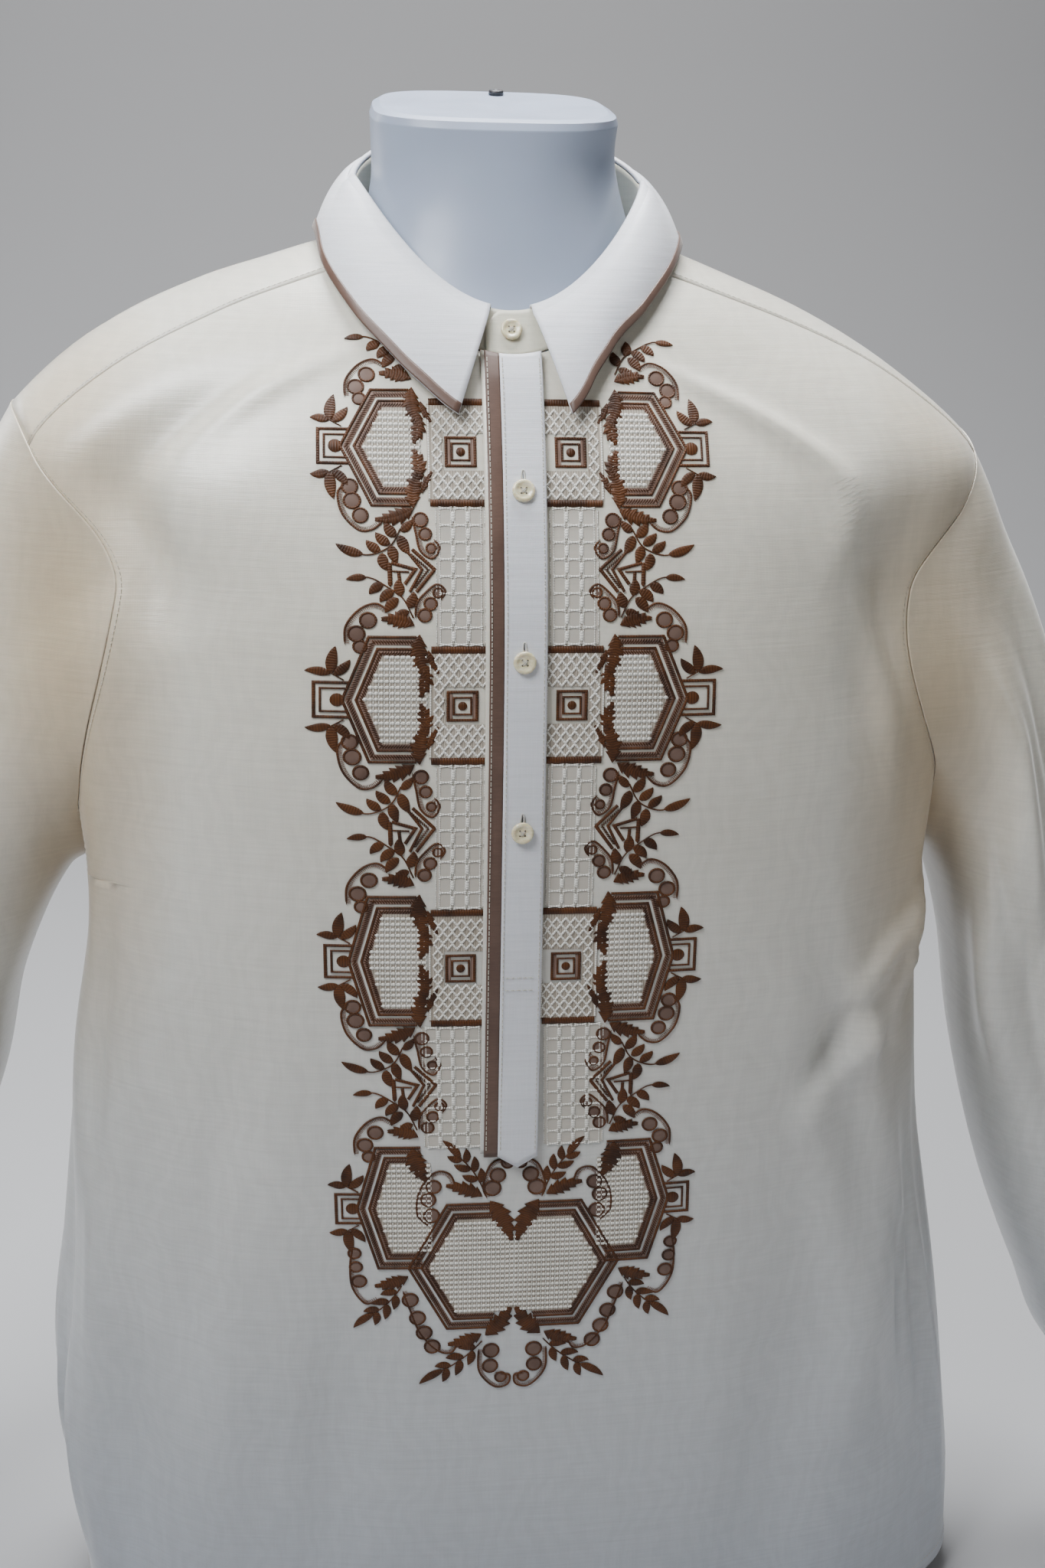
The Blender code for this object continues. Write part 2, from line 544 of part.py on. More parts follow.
def make_yoke(parent):
    grid = []
    for s in np.linspace(0.0, 1.0, YOKE_ROWS):
        halves = []
        for side in (1, -1):
            outer_a, outer_t, inner_a = yoke_rims(side)
            angles = outer_a + (inner_a - outer_a) * s
            levels = outer_t + (PANEL_TOP_T - outer_t) * s
            angles[0] += float(gap_angle(outer_t[0], SEAM_GAP)) * (1 + 1.5 * s)
            if s == 0:
                levels = levels + SEAM_GAP / FOLD_RISE
            halves.append((angles, levels))
        (right_a, right_t), (left_a, left_t) = halves
        angles = np.concatenate([right_a, 360.0 - left_a[-2::-1]])
        levels = np.concatenate([right_t, left_t[-2::-1]])
        grid.append(body_point(angles, levels))
    return sheet_piece("yoke", np.array(grid), "cloth", parent, CLOTH)


SLEEVE_RINGS = (0.0, 0.02, 0.05, 0.09, 0.13, 0.18, 0.25, 0.33, 0.41, 0.50, 0.60, 0.71, 0.82, 0.92, 1.0)


def sleeve_around():
    """The angles round a sleeve, which match the rows of the panels at the armhole."""
    front = np.linspace(180.0, float(armhole_q(SHOULDER_SEAM_T)), FRONT_ARMHOLE_ROWS)
    top = np.linspace(float(armhole_q(SHOULDER_SEAM_T)), -float(armhole_q(YOKE_BACK_T)), YOKE_ARMHOLE_COLUMNS)
    back = np.linspace(-float(armhole_q(YOKE_BACK_T)), -180.0, BACK_ARMHOLE_ROWS)
    return np.concatenate([front, top[1:], back[1:-1]])


def make_sleeve(name, side, parent):
    around = sleeve_around()
    count = len(around)
    first = SEAM_GAP * 1.3 / SLEEVE_LENGTH
    grid = []
    for w in SLEEVE_RINGS:
        ring = sleeve_point(side, around, np.full(count, max(w, first)))
        if w == 0.0:
            ring[:, 0] += side * SEAM_GAP * np.clip(np.cos(np.radians(around)) * 1.5, 0.1, 1.0)
        grid.append(ring)
    vertices = np.array(grid).reshape(-1, 3)
    faces = []
    for r in range(len(SLEEVE_RINGS) - 1):
        for c in range(count):
            n = (c + 1) % count
            face = (r * count + c, r * count + n, (r + 1) * count + n, (r + 1) * count + c)
            faces.append(face if side > 0 else face[::-1])
    return solidify(add_piece(name, vertices, faces, "cloth", parent), CLOTH)


def cuff_point(side, q, s, out):
    """A cuff's section: it carries on from the sleeve's end, along its own axis."""
    round_end = np.linspace(-180.0, 180.0, 33)[:-1]
    centre = sleeve_point(side, round_end, np.ones(32)).mean(axis=0)
    spread = sleeve_point(side, q, np.ones(len(q))) - centre
    reach = np.linalg.norm(spread, axis=1, keepdims=True)
    drop_out, drop_z = CUFF_DROP[side]
    axis = np.array([side * drop_out, -0.004, drop_z])
    return centre + spread * (0.97 + out[:, None] / reach) + axis * s


def make_cuff(name, side, parent):
    """A band that laps over itself at the back of the wrist, with one button on the lap."""
    turns = np.linspace(0.0, 360.0 + CUFF_OVERLAP, CUFF_COLUMNS)
    q = CUFF_LAP_AT - turns
    out = (COLLAR_CLOTH + 3 * LAY_GAP) * smooth((turns - 330.0) / 30.0)
    grid = [cuff_point(side, q, s, out) for s in (0.02, 0.35, 0.70, 1.04)]
    sheet_piece(name, np.array(grid), "collar_cloth", parent, COLLAR_CLOTH, flip=side < 0)
    at = np.array([CUFF_LAP_AT - 360.0 - CUFF_OVERLAP * 0.5])
    lap = np.full(1, out[-1])
    centre, below = cuff_point(side, at, 0.5, lap)[0], cuff_point(side, at, 0.6, lap)[0]
    beside = cuff_point(side, at + 4.0, 0.5, lap)[0]
    facing = np.cross(beside - centre, below - centre) * side
    facing = facing / np.linalg.norm(facing)
    make_disc(f"button_{name}", centre, facing, BUTTON_RADIUS, parent, CUFF_BUTTON_LIFT)


def strip_on_front(x_edges, t_rows, out, tip=0.0):
    """A grid laid over the front panel between two distances from the centre line."""
    grid = []
    for i, t in enumerate(t_rows):
        level = np.full(len(x_edges), t)
        if i == 0 and tip:
            middle = (x_edges[0] + x_edges[-1]) / 2
            half = (x_edges[-1] - x_edges[0]) / 2
            level = level - tip * (1 - abs((x_edges - middle) / half)) / FOLD_RISE
        grid.append(body_point(angle_at(x_edges, level), level, out))
    return np.array(grid)


PLACKET_TOP_T = 0.990
UNDERLAP_OUT = LAY_GAP + COLLAR_CLOTH
PLACKET_OUT = UNDERLAP_OUT + LAY_GAP + COLLAR_CLOTH


def make_placket(parent):
    low = float(level_at(PLACKET_TIP_Z + PLACKET_POINT))
    rows = np.concatenate([np.linspace(low, 0.86, 13), np.linspace(0.885, PLACKET_TOP_T, 6)])
    under = np.linspace(-UNDERLAP_HALF, PLACKET_HALF, 6)
    stripe = np.linspace(-PLACKET_HALF, -PLACKET_HALF + STRIPE_WIDTH, 3)
    white = np.linspace(-PLACKET_HALF + STRIPE_WIDTH + SEAM_GAP, PLACKET_HALF, 5)
    point = PLACKET_POINT
    sheet_piece("placket_underlap", strip_on_front(under, rows + 0.002, UNDERLAP_OUT), "cloth", parent,
                COLLAR_CLOTH)
    sheet_piece("placket_stripe", strip_on_front(stripe, rows, PLACKET_OUT), "brown_satin", parent, COLLAR_CLOTH)
    sheet_piece("placket", strip_on_front(white, rows, PLACKET_OUT, point), "collar_cloth", parent, COLLAR_CLOTH)


def fold_line(angle):
    turn = np.radians(angle)
    depth = np.where(np.cos(turn) > 0, FOLD_FRONT, FOLD_BACK)
    z_end = np.where(np.cos(turn) > 0, FOLD_Z_FRONT, FOLD_Z_BACK)
    dip = np.where(np.cos(turn) > 0, FOLD_DIP_FRONT, FOLD_DIP_BACK)
    z = FOLD_Z_SIDE + (z_end - FOLD_Z_SIDE) * np.abs(np.cos(turn)) ** dip
    return np.stack([FOLD_HALF_WIDTH * np.sin(turn), -depth * np.cos(turn), z], -1)


def stand_point(angle, s, out):
    """The stand rises from the neckline (s 0) to the fold line (s 1). out moves it away from the neck."""
    turn = np.radians(angle)
    wrapped = (angle + 180.0) % 360.0 - 180.0
    base = body_point(wrapped, np.full(np.shape(wrapped), 1.0))
    base[..., 2] += STAND_BASE_LIFT
    top = fold_line(wrapped)
    top[..., 2] -= STAND_TOP_DROP
    outward = np.stack([np.sin(turn), -np.cos(turn), np.zeros_like(turn)], -1)
    return base + (top - base) * np.asarray(s)[..., None] + outward * np.asarray(out)[..., None]


def stand_out(angles):
    """The stand's own distance from its base line: its two ends pass each other at the centre front."""
    over = STAND_LAP * (1 - smooth((angles + STAND_OVERLAP) / 40.0))
    under = STAND_LAP * smooth((angles - 320.0) / 40.0)
    return over - under - CLOTH


def make_stand(parent):
    angles = np.concatenate([np.linspace(-STAND_OVERLAP, 30, 6), np.linspace(45, 315, 19),
                             np.linspace(330, 360 + STAND_OVERLAP, 6)])
    to_end = np.minimum(angles + STAND_OVERLAP, 360 + STAND_OVERLAP - angles)
    round_off = 1 - 0.45 * (1 - np.clip(to_end / 7.0, 0, 1)) ** 2
    grid = [stand_point(angles, s * round_off, stand_out(angles)) for s in (0.0, 0.33, 0.67, 1.0)]
    return sheet_piece("collar_stand", np.array(grid), "collar_cloth", parent, COLLAR_CLOTH)


def fall_base(v, s):
    v, s = np.broadcast_arrays(np.asarray(v, float), np.asarray(s, float))
    side = np.where(v < 0, -1.0, 1.0)
    from_front = 1 - np.abs(v)
    top = fold_line(side * (FALL_START + (180.0 - FALL_START) * from_front)) + np.array([0, 0, FALL_TOP_LIFT])
    edge_a = side * fall_edge("a", from_front)
    edge_t = np.where(v < 0, fall_edge("t_right", from_front), fall_edge("t_left", from_front))
    edge = body_point(edge_a, edge_t, FALL_CLEARANCE)
    outward = body_normal(edge_a, edge_t) * np.array([1, 1, 0.35])
    outward = outward / np.linalg.norm(outward, axis=-1, keepdims=True)
    lift = 0.0035 * np.sin(np.pi * np.clip(s, 0, 1)) + 0.0022 * (1 - np.exp(-((s / 0.10) ** 2)))
    return top + (edge - top) * s[..., None] + outward * lift[..., None]


def fall_point(v, s, out=0.0):
    """The fall, with v from -1 to 1 round the neck (0 at the centre back) and s from the fold to the free edge."""
    v, s = np.broadcast_arrays(np.asarray(v, float), np.asarray(s, float))
    normal = normals_of(fall_base, np.clip(v, -0.99, 0.99), s, 0.01, 0.02)
    return fall_base(v, s) + normal * out


FALL_COLUMNS_COUNT = 39
FALL_ROWS = (0.0, 0.05, 0.14, 0.34, 0.60)


def make_fall(parent):
    v = np.linspace(-1.0, 1.0, FALL_COLUMNS_COUNT)
    length = np.linalg.norm(fall_point(v, np.ones(len(v))) - fall_point(v, np.zeros(len(v))), axis=1)
    trim_start = 1 - TRIM_WIDTH / length
    trim_rows = [trim_start, np.ones(len(v))]
    grid = np.array([fall_point(v, s) for s in [*FALL_ROWS, *trim_rows]])
    sheet_piece("collar_fall", grid, "collar_cloth", parent, COLLAR_CLOTH, flip=True)
    trim = np.array([fall_point(v, s, LAY_GAP + TRIM_CLOTH + 0.0002) for s in trim_rows])
    sheet_piece("collar_trim", trim, "brown_satin", parent, TRIM_CLOTH, flip=True)


def make_disc(name, place, normal, radius, parent, lift=LAY_GAP, material="pearl"):
    """A button or stud: a round disc with eased edges, standing a small lift off the place it lies on."""
    bpy.ops.mesh.primitive_cylinder_add(vertices=20, radius=radius, depth=BUTTON_THICKNESS)
    button = bpy.context.active_object
    button.name = name
    button.data.name = name
    for collection in list(button.users_collection):
        collection.objects.unlink(button)
    parent.users_collection[0].objects.link(button)
    button.parent = parent
    facing = Vector(normal)
    button.rotation_euler = facing.to_track_quat("Z", "Y").to_euler()
    button.location = Vector(place) + facing * (BUTTON_THICKNESS / 2 + lift)
    edge = button.modifiers.new("edge", "BEVEL")
    edge.width = BUTTON_EDGE
    edge.segments = 1
    button.data.materials.append(get_material(material))
    button.data.shade_smooth()
    button.data.set_sharp_from_angle(angle=0.7)


def make_buttons(parent):
    for name, z in BUTTON_Z.items():
        t = level_at(z)
        a = angle_at(BUTTON_X, t)
        make_disc(name, body_point(a, t, PLACKET_OUT), body_normal(a, t), BUTTON_RADIUS, parent)
    low, high = stand_point(np.zeros(2), np.array([0.40, 0.72]), stand_out(np.zeros(2)))
    facing = np.cross(np.array([1.0, 0.0, 0.0]), (high - low) / np.linalg.norm(high - low))
    make_disc("button_collar", (low + high) / 2, facing, STAND_BUTTON_RADIUS, parent)


def form_seat(angles, t):
    """A loop just inside the shirt's shoulders, with more room in front and behind."""
    room = FORM_SEAT_GAP + CLOTH + FORM_FRONT_ROOM * np.cos(np.radians(angles)) ** 4
    level = np.full(len(angles), t)
    return plain_body(angles, level) - body_normal(angles, level) * room[:, None]


def form_loops():
    """Loops of the dress form from its base to the neck cut."""
    angles = np.linspace(-180.0, 180.0, FORM_SIDES + 1)[:-1]
    torso = column_reader(FORM_COLUMNS, FORM_TORSO)
    neck = column_reader(FORM_COLUMNS, FORM_NECK)
    loops = [loop_point(angles, *(torso(name, t) for name in FORM_COLUMNS[1:]))
             for t in np.concatenate([np.linspace(0.0, 0.78, 10), [0.82, 0.85, 0.875, 0.90]])]
    last_torso, first_seat = loops[-1], form_seat(angles, FORM_SEAT_T[0])
    loops.append((last_torso + first_seat) / 2 + np.array([0.0, 0.0, 0.0015]))
    loops += [form_seat(angles, t) for t in FORM_SEAT_T]
    loops += [loop_point(angles, *(neck(name, t) for name in FORM_COLUMNS[1:]))
              for t in (1.00, 1.02, 1.05, 1.08, 1.11, 1.12, 1.13)]
    for k, loop in enumerate(loops[-6:]):
        loop[:, 0] += NECK_LEAN * min(1.0, (k + 1) / 3)
    for loop in loops[-FORM_CUT_LOOPS:]:
        loop[:, 2] = cut_height(loop, loop[:, 1])
    return loops


def cut_height(loop, y):
    """The height at y of the plane through a loop's front and back points."""
    front, back = loop[np.argmin(loop[:, 1])], loop[np.argmax(loop[:, 1])]
    return front[2] + (back[2] - front[2]) * (y - front[1]) / (back[1] - front[1])


def make_form(parent):
    loops = form_loops()
    vertices = np.concatenate(loops)
    faces = []
    for r in range(len(loops) - 1):
        for c in range(FORM_SIDES):
            n = (c + 1) % FORM_SIDES
            faces.append((r * FORM_SIDES + c, r * FORM_SIDES + n, (r + 1) * FORM_SIDES + n,
                          (r + 1) * FORM_SIDES + c))
    last = (len(loops) - 1) * FORM_SIDES
    faces.append(tuple(range(FORM_SIDES))[::-1])
    faces.append(tuple(last + c for c in range(FORM_SIDES)))
    add_piece("form_torso", vertices, faces, "form_plastic", parent)
    top, (x, y) = loops[-1], STUD_AT
    slope = cut_height(top, 1.0) - cut_height(top, 0.0)
    normal = np.array([0.0, -slope, 1.0]) / np.hypot(slope, 1.0)
    make_disc("form_stud", (x, y, cut_height(top, y)), normal, STUD_RADIUS, parent, material="dark_fitting")


def main():
    clear_scene()
    collection = bpy.data.collections.new("barong_tagalog_on_form")
    bpy.context.scene.collection.children.link(collection)
    root = bpy.data.objects.new("shirt_and_form", None)
    collection.objects.link(root)
    make_form(root)
    make_front(root)
    make_back(root)
    make_yoke(root)
    for name, side in (("right", -1), ("left", 1)):
        make_sleeve(f"sleeve_{name}", side, root)
        make_cuff(f"cuff_{name}", side, root)
    make_placket(root)
    make_stand(root)
    make_fall(root)
    make_buttons(root)


main()
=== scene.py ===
"""Barong tagalog shirt on a limbless dress form: what the CAD solids look like.

The shapes repeat part.py's tables and functions at a finer grain. Metres, +Z up, the shirt's front faces -Y.
"""
from collections import namedtuple
from functools import partial

import bpy
import numpy as np
from mathutils import Matrix, Vector


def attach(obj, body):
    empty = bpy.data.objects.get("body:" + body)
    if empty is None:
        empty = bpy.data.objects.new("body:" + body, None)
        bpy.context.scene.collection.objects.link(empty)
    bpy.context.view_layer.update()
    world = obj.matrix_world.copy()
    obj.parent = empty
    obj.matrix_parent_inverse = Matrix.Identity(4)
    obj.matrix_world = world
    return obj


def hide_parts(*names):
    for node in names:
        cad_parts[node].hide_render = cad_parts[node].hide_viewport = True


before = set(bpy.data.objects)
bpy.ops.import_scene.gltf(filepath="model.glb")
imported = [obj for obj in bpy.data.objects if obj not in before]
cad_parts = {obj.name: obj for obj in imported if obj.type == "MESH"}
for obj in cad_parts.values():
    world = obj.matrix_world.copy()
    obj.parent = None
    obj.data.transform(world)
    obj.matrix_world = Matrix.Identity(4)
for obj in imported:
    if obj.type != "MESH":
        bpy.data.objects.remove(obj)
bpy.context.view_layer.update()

LONG_SIDE_PX = 2048
FOCAL_PX = 2450
CAMERA_PITCH, CAMERA_YAW, CAMERA_ROLL = 16.0, 6.5, 1.0
AIM_POINT = (0.002, -0.138, 0.630)
AIM_PX = (-0.5, -162.0)      # where the aim point shows, from the picture's centre, right and down
AIM_DEPTH = 0.94


def make_camera():
    pitch, yaw, roll = np.radians((CAMERA_PITCH, CAMERA_YAW, CAMERA_ROLL))
    ahead = np.array([np.sin(yaw) * np.cos(pitch), np.cos(yaw) * np.cos(pitch), -np.sin(pitch)])
    level = np.array([np.cos(yaw), -np.sin(yaw), 0.0])
    above = np.cross(level, ahead)
    right = level * np.cos(roll) + above * np.sin(roll)
    up = -level * np.sin(roll) + above * np.cos(roll)
    ray = ahead + right * (AIM_PX[0] / FOCAL_PX) - up * (AIM_PX[1] / FOCAL_PX)
    place = np.array(AIM_POINT) - AIM_DEPTH * ray
    data = bpy.data.cameras.new("camera")
    data.sensor_fit = "VERTICAL"
    data.sensor_height = 36.0
    data.sensor_width = 36.0
    data.lens = 36.0 * FOCAL_PX / LONG_SIDE_PX
    data.clip_start = 0.05
    camera = bpy.data.objects.new("camera", data)
    turn = Matrix(np.stack([right, up, -ahead], 1).tolist())
    camera.matrix_world = Matrix.Translation(Vector(place)) @ turn.to_4x4()
    bpy.context.scene.collection.objects.link(camera)
    bpy.context.scene.camera = camera


make_camera()

CLOTH = 0.0016          # wall of the sheer cloth
COLLAR_CLOTH = 0.0014   # wall of the interlined collar, placket and cuffs
LAY_GAP = 0.0004        # between a panel and what lies on it

# Loops of the body from hem to neckline, seen from the front. t runs up the garment, left and right are half
# widths with the heights there, front and back are depths from the centre line with the heights there, and
# square is the loop's fullness (2 is an ellipse).
BODY_COLUMNS = ("t", "left", "right", "z_left", "z_right", "front", "back", "z_front", "z_back", "square")
BODY_LEVELS = (
    (-0.05, 0.252, 0.305, 0.016, 0.016, 0.127, 0.122, 0.014, 0.016, 2.5),
    (0.00, 0.254, 0.302, 0.052, 0.052, 0.128, 0.122, 0.048, 0.052, 2.5),
    (0.12, 0.257, 0.292, 0.136, 0.136, 0.131, 0.122, 0.132, 0.136, 2.5),
    (0.25, 0.255, 0.279, 0.232, 0.232, 0.134, 0.120, 0.228, 0.232, 2.5),
    (0.42, 0.245, 0.262, 0.355, 0.355, 0.137, 0.116, 0.352, 0.358, 2.5),
    (0.60, 0.228, 0.250, 0.495, 0.495, 0.139, 0.117, 0.498, 0.500, 2.6),
    (0.70, 0.231, 0.249, 0.576, 0.574, 0.139, 0.119, 0.582, 0.588, 2.6),
    (0.79, 0.243, 0.252, 0.656, 0.652, 0.134, 0.116, 0.655, 0.668, 2.5),
    (0.88, 0.261, 0.262, 0.745, 0.737, 0.116, 0.102, 0.719, 0.744, 2.3),
    (0.91, 0.218, 0.218, 0.782, 0.771, 0.109, 0.092, 0.736, 0.775, 2.2),
    (0.94, 0.167, 0.168, 0.808, 0.799, 0.102, 0.082, 0.751, 0.802, 2.1),
    (0.97, 0.119, 0.120, 0.824, 0.819, 0.095, 0.071, 0.764, 0.827, 2.1),
    (1.00, 0.080, 0.080, 0.836, 0.834, 0.087, 0.061, 0.776, 0.848, 2.0),
)
FRONT_HEM_T = -0.05     # the front hangs this much lower than the back
ARMPIT_T = 0.60
TIP_T = 0.88
# How far the armhole reaches forward or back of the side in degrees, how square its curve is, and how much
# further it reaches in its upper half.
ARMHOLE_FRONT = {-1: (36.0, 0.60, 0.40), 1: (35.0, 1.10, 0.25)}
ARMHOLE_BACK = (31.0, 0.85, 0.10)
SHOULDER_SEAM_T = 0.868  # where the front shoulder seam leaves the armhole
YOKE_BACK_T = 0.862     # where the back yoke seam leaves the armhole
SEAM_NECK = 62.0        # degrees round the neckline where the shoulder seam ends

# Folds that stand proud of a surface (height above zero) or sink into it, each along a bent path from its
# first to its second place. On the body a place is an angle and a t, on a sleeve an angle round it and a w.
Fold = namedtuple("Fold", "side a0 t0 bend a1 t1 width height")
BODY_FOLDS = (
    (-1, 38, 0.92, 4, 42, 0.76, 0.024, -0.018),
    (-1, 50, 0.80, 6, 64, 0.52, 0.026, 0.012),
    (-1, 70, 0.62, 3, 64, 0.30, 0.026, 0.005),
    (-1, 38, 0.44, -1, 36, 0.04, 0.013, 0.004),
    (-1, 52, 0.26, 2, 50, -0.04, 0.030, -0.009),
    (-1, 20, 0.30, 2, 24, -0.04, 0.026, -0.005),
    (-1, 68, 0.28, 0, 66, -0.04, 0.022, 0.006),
    (1, 54, 0.80, 4, 64, 0.54, 0.024, 0.011),
    (1, 44, 0.88, 3, 46, 0.70, 0.024, -0.010),
    (1, 72, 0.57, -10, 48, 0.44, 0.016, 0.010),
    (1, 60, 0.53, -8, 42, 0.44, 0.014, -0.008),
    (1, 52, 0.46, 4, 40, 0.10, 0.022, 0.009),
    (1, 62, 0.44, 2, 58, -0.04, 0.024, -0.010),
    (1, 30, 0.30, 2, 28, -0.04, 0.026, -0.005),
    (1, 74, 0.36, 1, 70, -0.04, 0.020, 0.006),
    (-1, 118, 0.58, 3, 124, 0.10, 0.026, 0.008),
    (-1, 138, 0.66, -2, 142, -0.04, 0.024, -0.008),
    (-1, 164, 0.52, 1, 160, -0.04, 0.026, 0.007),
    (1, 116, 0.56, -3, 124, 0.04, 0.024, 0.008),
    (1, 134, 0.70, 2, 144, 0.10, 0.026, -0.008),
    (1, 158, 0.48, -1, 166, -0.04, 0.028, 0.007),
    (1, 112, 0.84, 2, 118, 0.62, 0.022, -0.007),
    (-1, 112, 0.86, -2, 120, 0.64, 0.022, -0.007),
)
FOLD_GIRTH = 0.20       # metres of cloth to a radian of a, for a fold's own width
FOLD_RISE = 0.80        # metres of cloth to a whole t

# Sleeve sections from the armhole (w 0) to the cuff seam (w 1): the outer and the inner edge as distance from
# the centre line and height, on the wearer's right (_l, the viewer's left) and on the wearer's left (_r),
# then the half depth and how far back the section's middle lies.
SLEEVE_COLUMNS = ("w", "out_l", "out_z_l", "in_l", "in_z_l", "out_r", "out_z_r", "in_r", "in_z_r",
                  "depth", "back")
SLEEVE_LEVELS = (
    (0.00, 0.261, 0.745, 0.228, 0.495, 0.262, 0.737, 0.250, 0.495, 0.076, 0.004),
    (0.04, 0.273, 0.725, 0.236, 0.485, 0.272, 0.719, 0.258, 0.485, 0.075, 0.004),
    (0.10, 0.290, 0.692, 0.247, 0.468, 0.286, 0.690, 0.268, 0.468, 0.073, 0.004),
    (0.17, 0.308, 0.658, 0.258, 0.446, 0.303, 0.658, 0.277, 0.444, 0.070, 0.004),
    (0.25, 0.327, 0.619, 0.270, 0.416, 0.320, 0.620, 0.285, 0.414, 0.067, 0.003),
    (0.40, 0.364, 0.538, 0.284, 0.355, 0.351, 0.540, 0.295, 0.354, 0.063, 0.002),
    (0.60, 0.409, 0.420, 0.318, 0.270, 0.388, 0.420, 0.318, 0.266, 0.058, -0.002),
    (0.80, 0.446, 0.305, 0.353, 0.200, 0.421, 0.304, 0.346, 0.192, 0.053, -0.008),
    (0.93, 0.467, 0.228, 0.381, 0.158, 0.441, 0.226, 0.366, 0.148, 0.047, -0.013),
    (1.00, 0.474, 0.196, 0.401, 0.148, 0.448, 0.194, 0.386, 0.137, 0.038, -0.016),
)
BLEND_LOW = 0.07        # the armhole's own curve fades out over this much of the sleeve, under the arm
BLEND_HIGH = 0.28       # and at the shoulder
UNDERARM_ROOM = 0.0045  # the sleeve stands this far off the side below the armpit
SLEEVE_FOLDS = (
    (1, 78, 0.08, 8, 96, 0.40, 0.018, -0.016),
    (1, 46, 0.04, 6, 60, 0.56, 0.014, 0.009),
    (1, 112, 0.22, 4, 98, 0.72, 0.014, 0.009),
    (1, 136, 0.16, 3, 128, 0.50, 0.014, -0.010),
    (1, 80, 0.60, 4, 66, 0.96, 0.014, 0.005),
    (-1, 62, 0.04, 6, 78, 0.36, 0.020, 0.006),
    (-1, 96, 0.14, 6, 108, 0.50, 0.016, -0.009),
    (-1, 130, 0.20, 3, 118, 0.62, 0.014, 0.006),
    (-1, 84, 0.56, 4, 70, 0.96, 0.014, 0.005),
    (1, -70, 0.10, 5, -96, 0.44, 0.016, -0.009),
    (1, -112, 0.30, 4, -92, 0.84, 0.015, 0.006),
    (-1, -74, 0.12, 5, -98, 0.48, 0.016, -0.009),
    (-1, -110, 0.34, 4, -94, 0.86, 0.015, 0.006),
)
SLEEVE_GIRTH = 0.065    # metres of cloth to a radian round a sleeve
SLEEVE_LENGTH = 0.55

CUFF_DROP = {-1: (0.022, -0.058), 1: (0.020, -0.0585)}   # along its axis, outward and down
CUFF_OVERLAP = 30.0     # degrees of overlap at the button
CUFF_LAP_AT = -100.0    # the lap starts here, at the back of the wrist

VENT_T = {-1: 0.215, 1: 0.135}   # the side seam is open below this level
HEM_BAND = 0.012
VENT_BAND = 0.018

# Placket, measured across from its centre line and down from the neckline.
PLACKET_HALF = 0.0145
STRIPE_WIDTH = 0.0075
PLACKET_TIP_Z = 0.350
PLACKET_POINT = 0.007
UNDERLAP_HALF = 0.0162
SLIT_HALF = 0.0012
SLIT_END_Z = 0.376
BUTTON_X = 0.0030
BUTTON_Z = {"button_upper": 0.711, "button_middle": 0.629, "button_lower": 0.541}
BUTTON_RADIUS = 0.0058
BUTTON_THICKNESS = 0.0024
CUFF_BUTTON_LIFT = 0.0021  # its flat back has to clear the curved cuff

# Collar: the fold line round the neck, and the fall's free edge laid on the shirt.
FOLD_HALF_WIDTH = 0.0785
FOLD_FRONT = 0.077
FOLD_BACK = 0.062
FOLD_Z_FRONT = 0.798
FOLD_Z_SIDE = 0.863
FOLD_Z_BACK = 0.892
FOLD_DIP_FRONT = 2.0   # how sharply the fold line dips at the front, and rises at the back
FOLD_DIP_BACK = 1.2
FALL_START = 7.5        # degrees from the centre front where each half of the fall begins
FALL_COLUMNS = ("v", "a", "t_right", "t_left")
FALL_EDGE = (   # from the tip round to the centre back, with a level for the right half and the left half
    (0.00, 8.7, 0.928, 0.929),
    (0.06, 17.0, 0.948, 0.959),
    (0.12, 25.0, 0.960, 0.974),
    (0.26, 42.0, 0.973, 0.984),
    (0.40, 60.0, 0.9805, 0.987),
    (0.54, 78.0, 0.987, 0.988),
    (0.70, 105.0, 0.987, 0.987),
    (0.85, 140.0, 0.982, 0.982),
    (1.00, 180.0, 0.978, 0.978),
)
FALL_CLEARANCE = 0.0034
TRIM_WIDTH = 0.0058
TRIM_CLOTH = 0.0010
STAND_OVERLAP = 9.5     # degrees past the centre front at each end of the stand
STAND_LAP = 0.0012      # each of the two ends moves this far, out or in, where they overlap
STAND_BASE_LIFT = -0.0001
STAND_TOP_DROP = 0.0002
FALL_TOP_LIFT = -0.0003
STAND_BUTTON_RADIUS = 0.0055


def column_reader(columns, rows):
    """Returns read(name, at): a smooth curve through one column of a table, over its first column."""
    table = {name: np.array([row[i] for row in rows], float) for i, name in enumerate(columns)}
    knots = table[columns[0]]

    def read(name, at):
        values = table[name]
        slopes = np.gradient(values, knots)
        at = np.clip(np.asarray(at, float), knots[0], knots[-1])
        i = np.clip(np.searchsorted(knots, at, side="right") - 1, 0, len(knots) - 2)
        step = knots[i + 1] - knots[i]
        s = (at - knots[i]) / step
        keep = (1 + 2 * s) * (1 - s) ** 2 * values[i] + s * s * (3 - 2 * s) * values[i + 1]
        return keep + step * s * (1 - s) * ((1 - s) * slopes[i] - s * slopes[i + 1])

    return read


body_level = column_reader(BODY_COLUMNS, BODY_LEVELS)
sleeve_level = column_reader(SLEEVE_COLUMNS, SLEEVE_LEVELS)
fall_edge = column_reader(FALL_COLUMNS, FALL_EDGE)


def smooth(x):
    x = np.clip(x, 0.0, 1.0)
    return x * x * (3 - 2 * x)


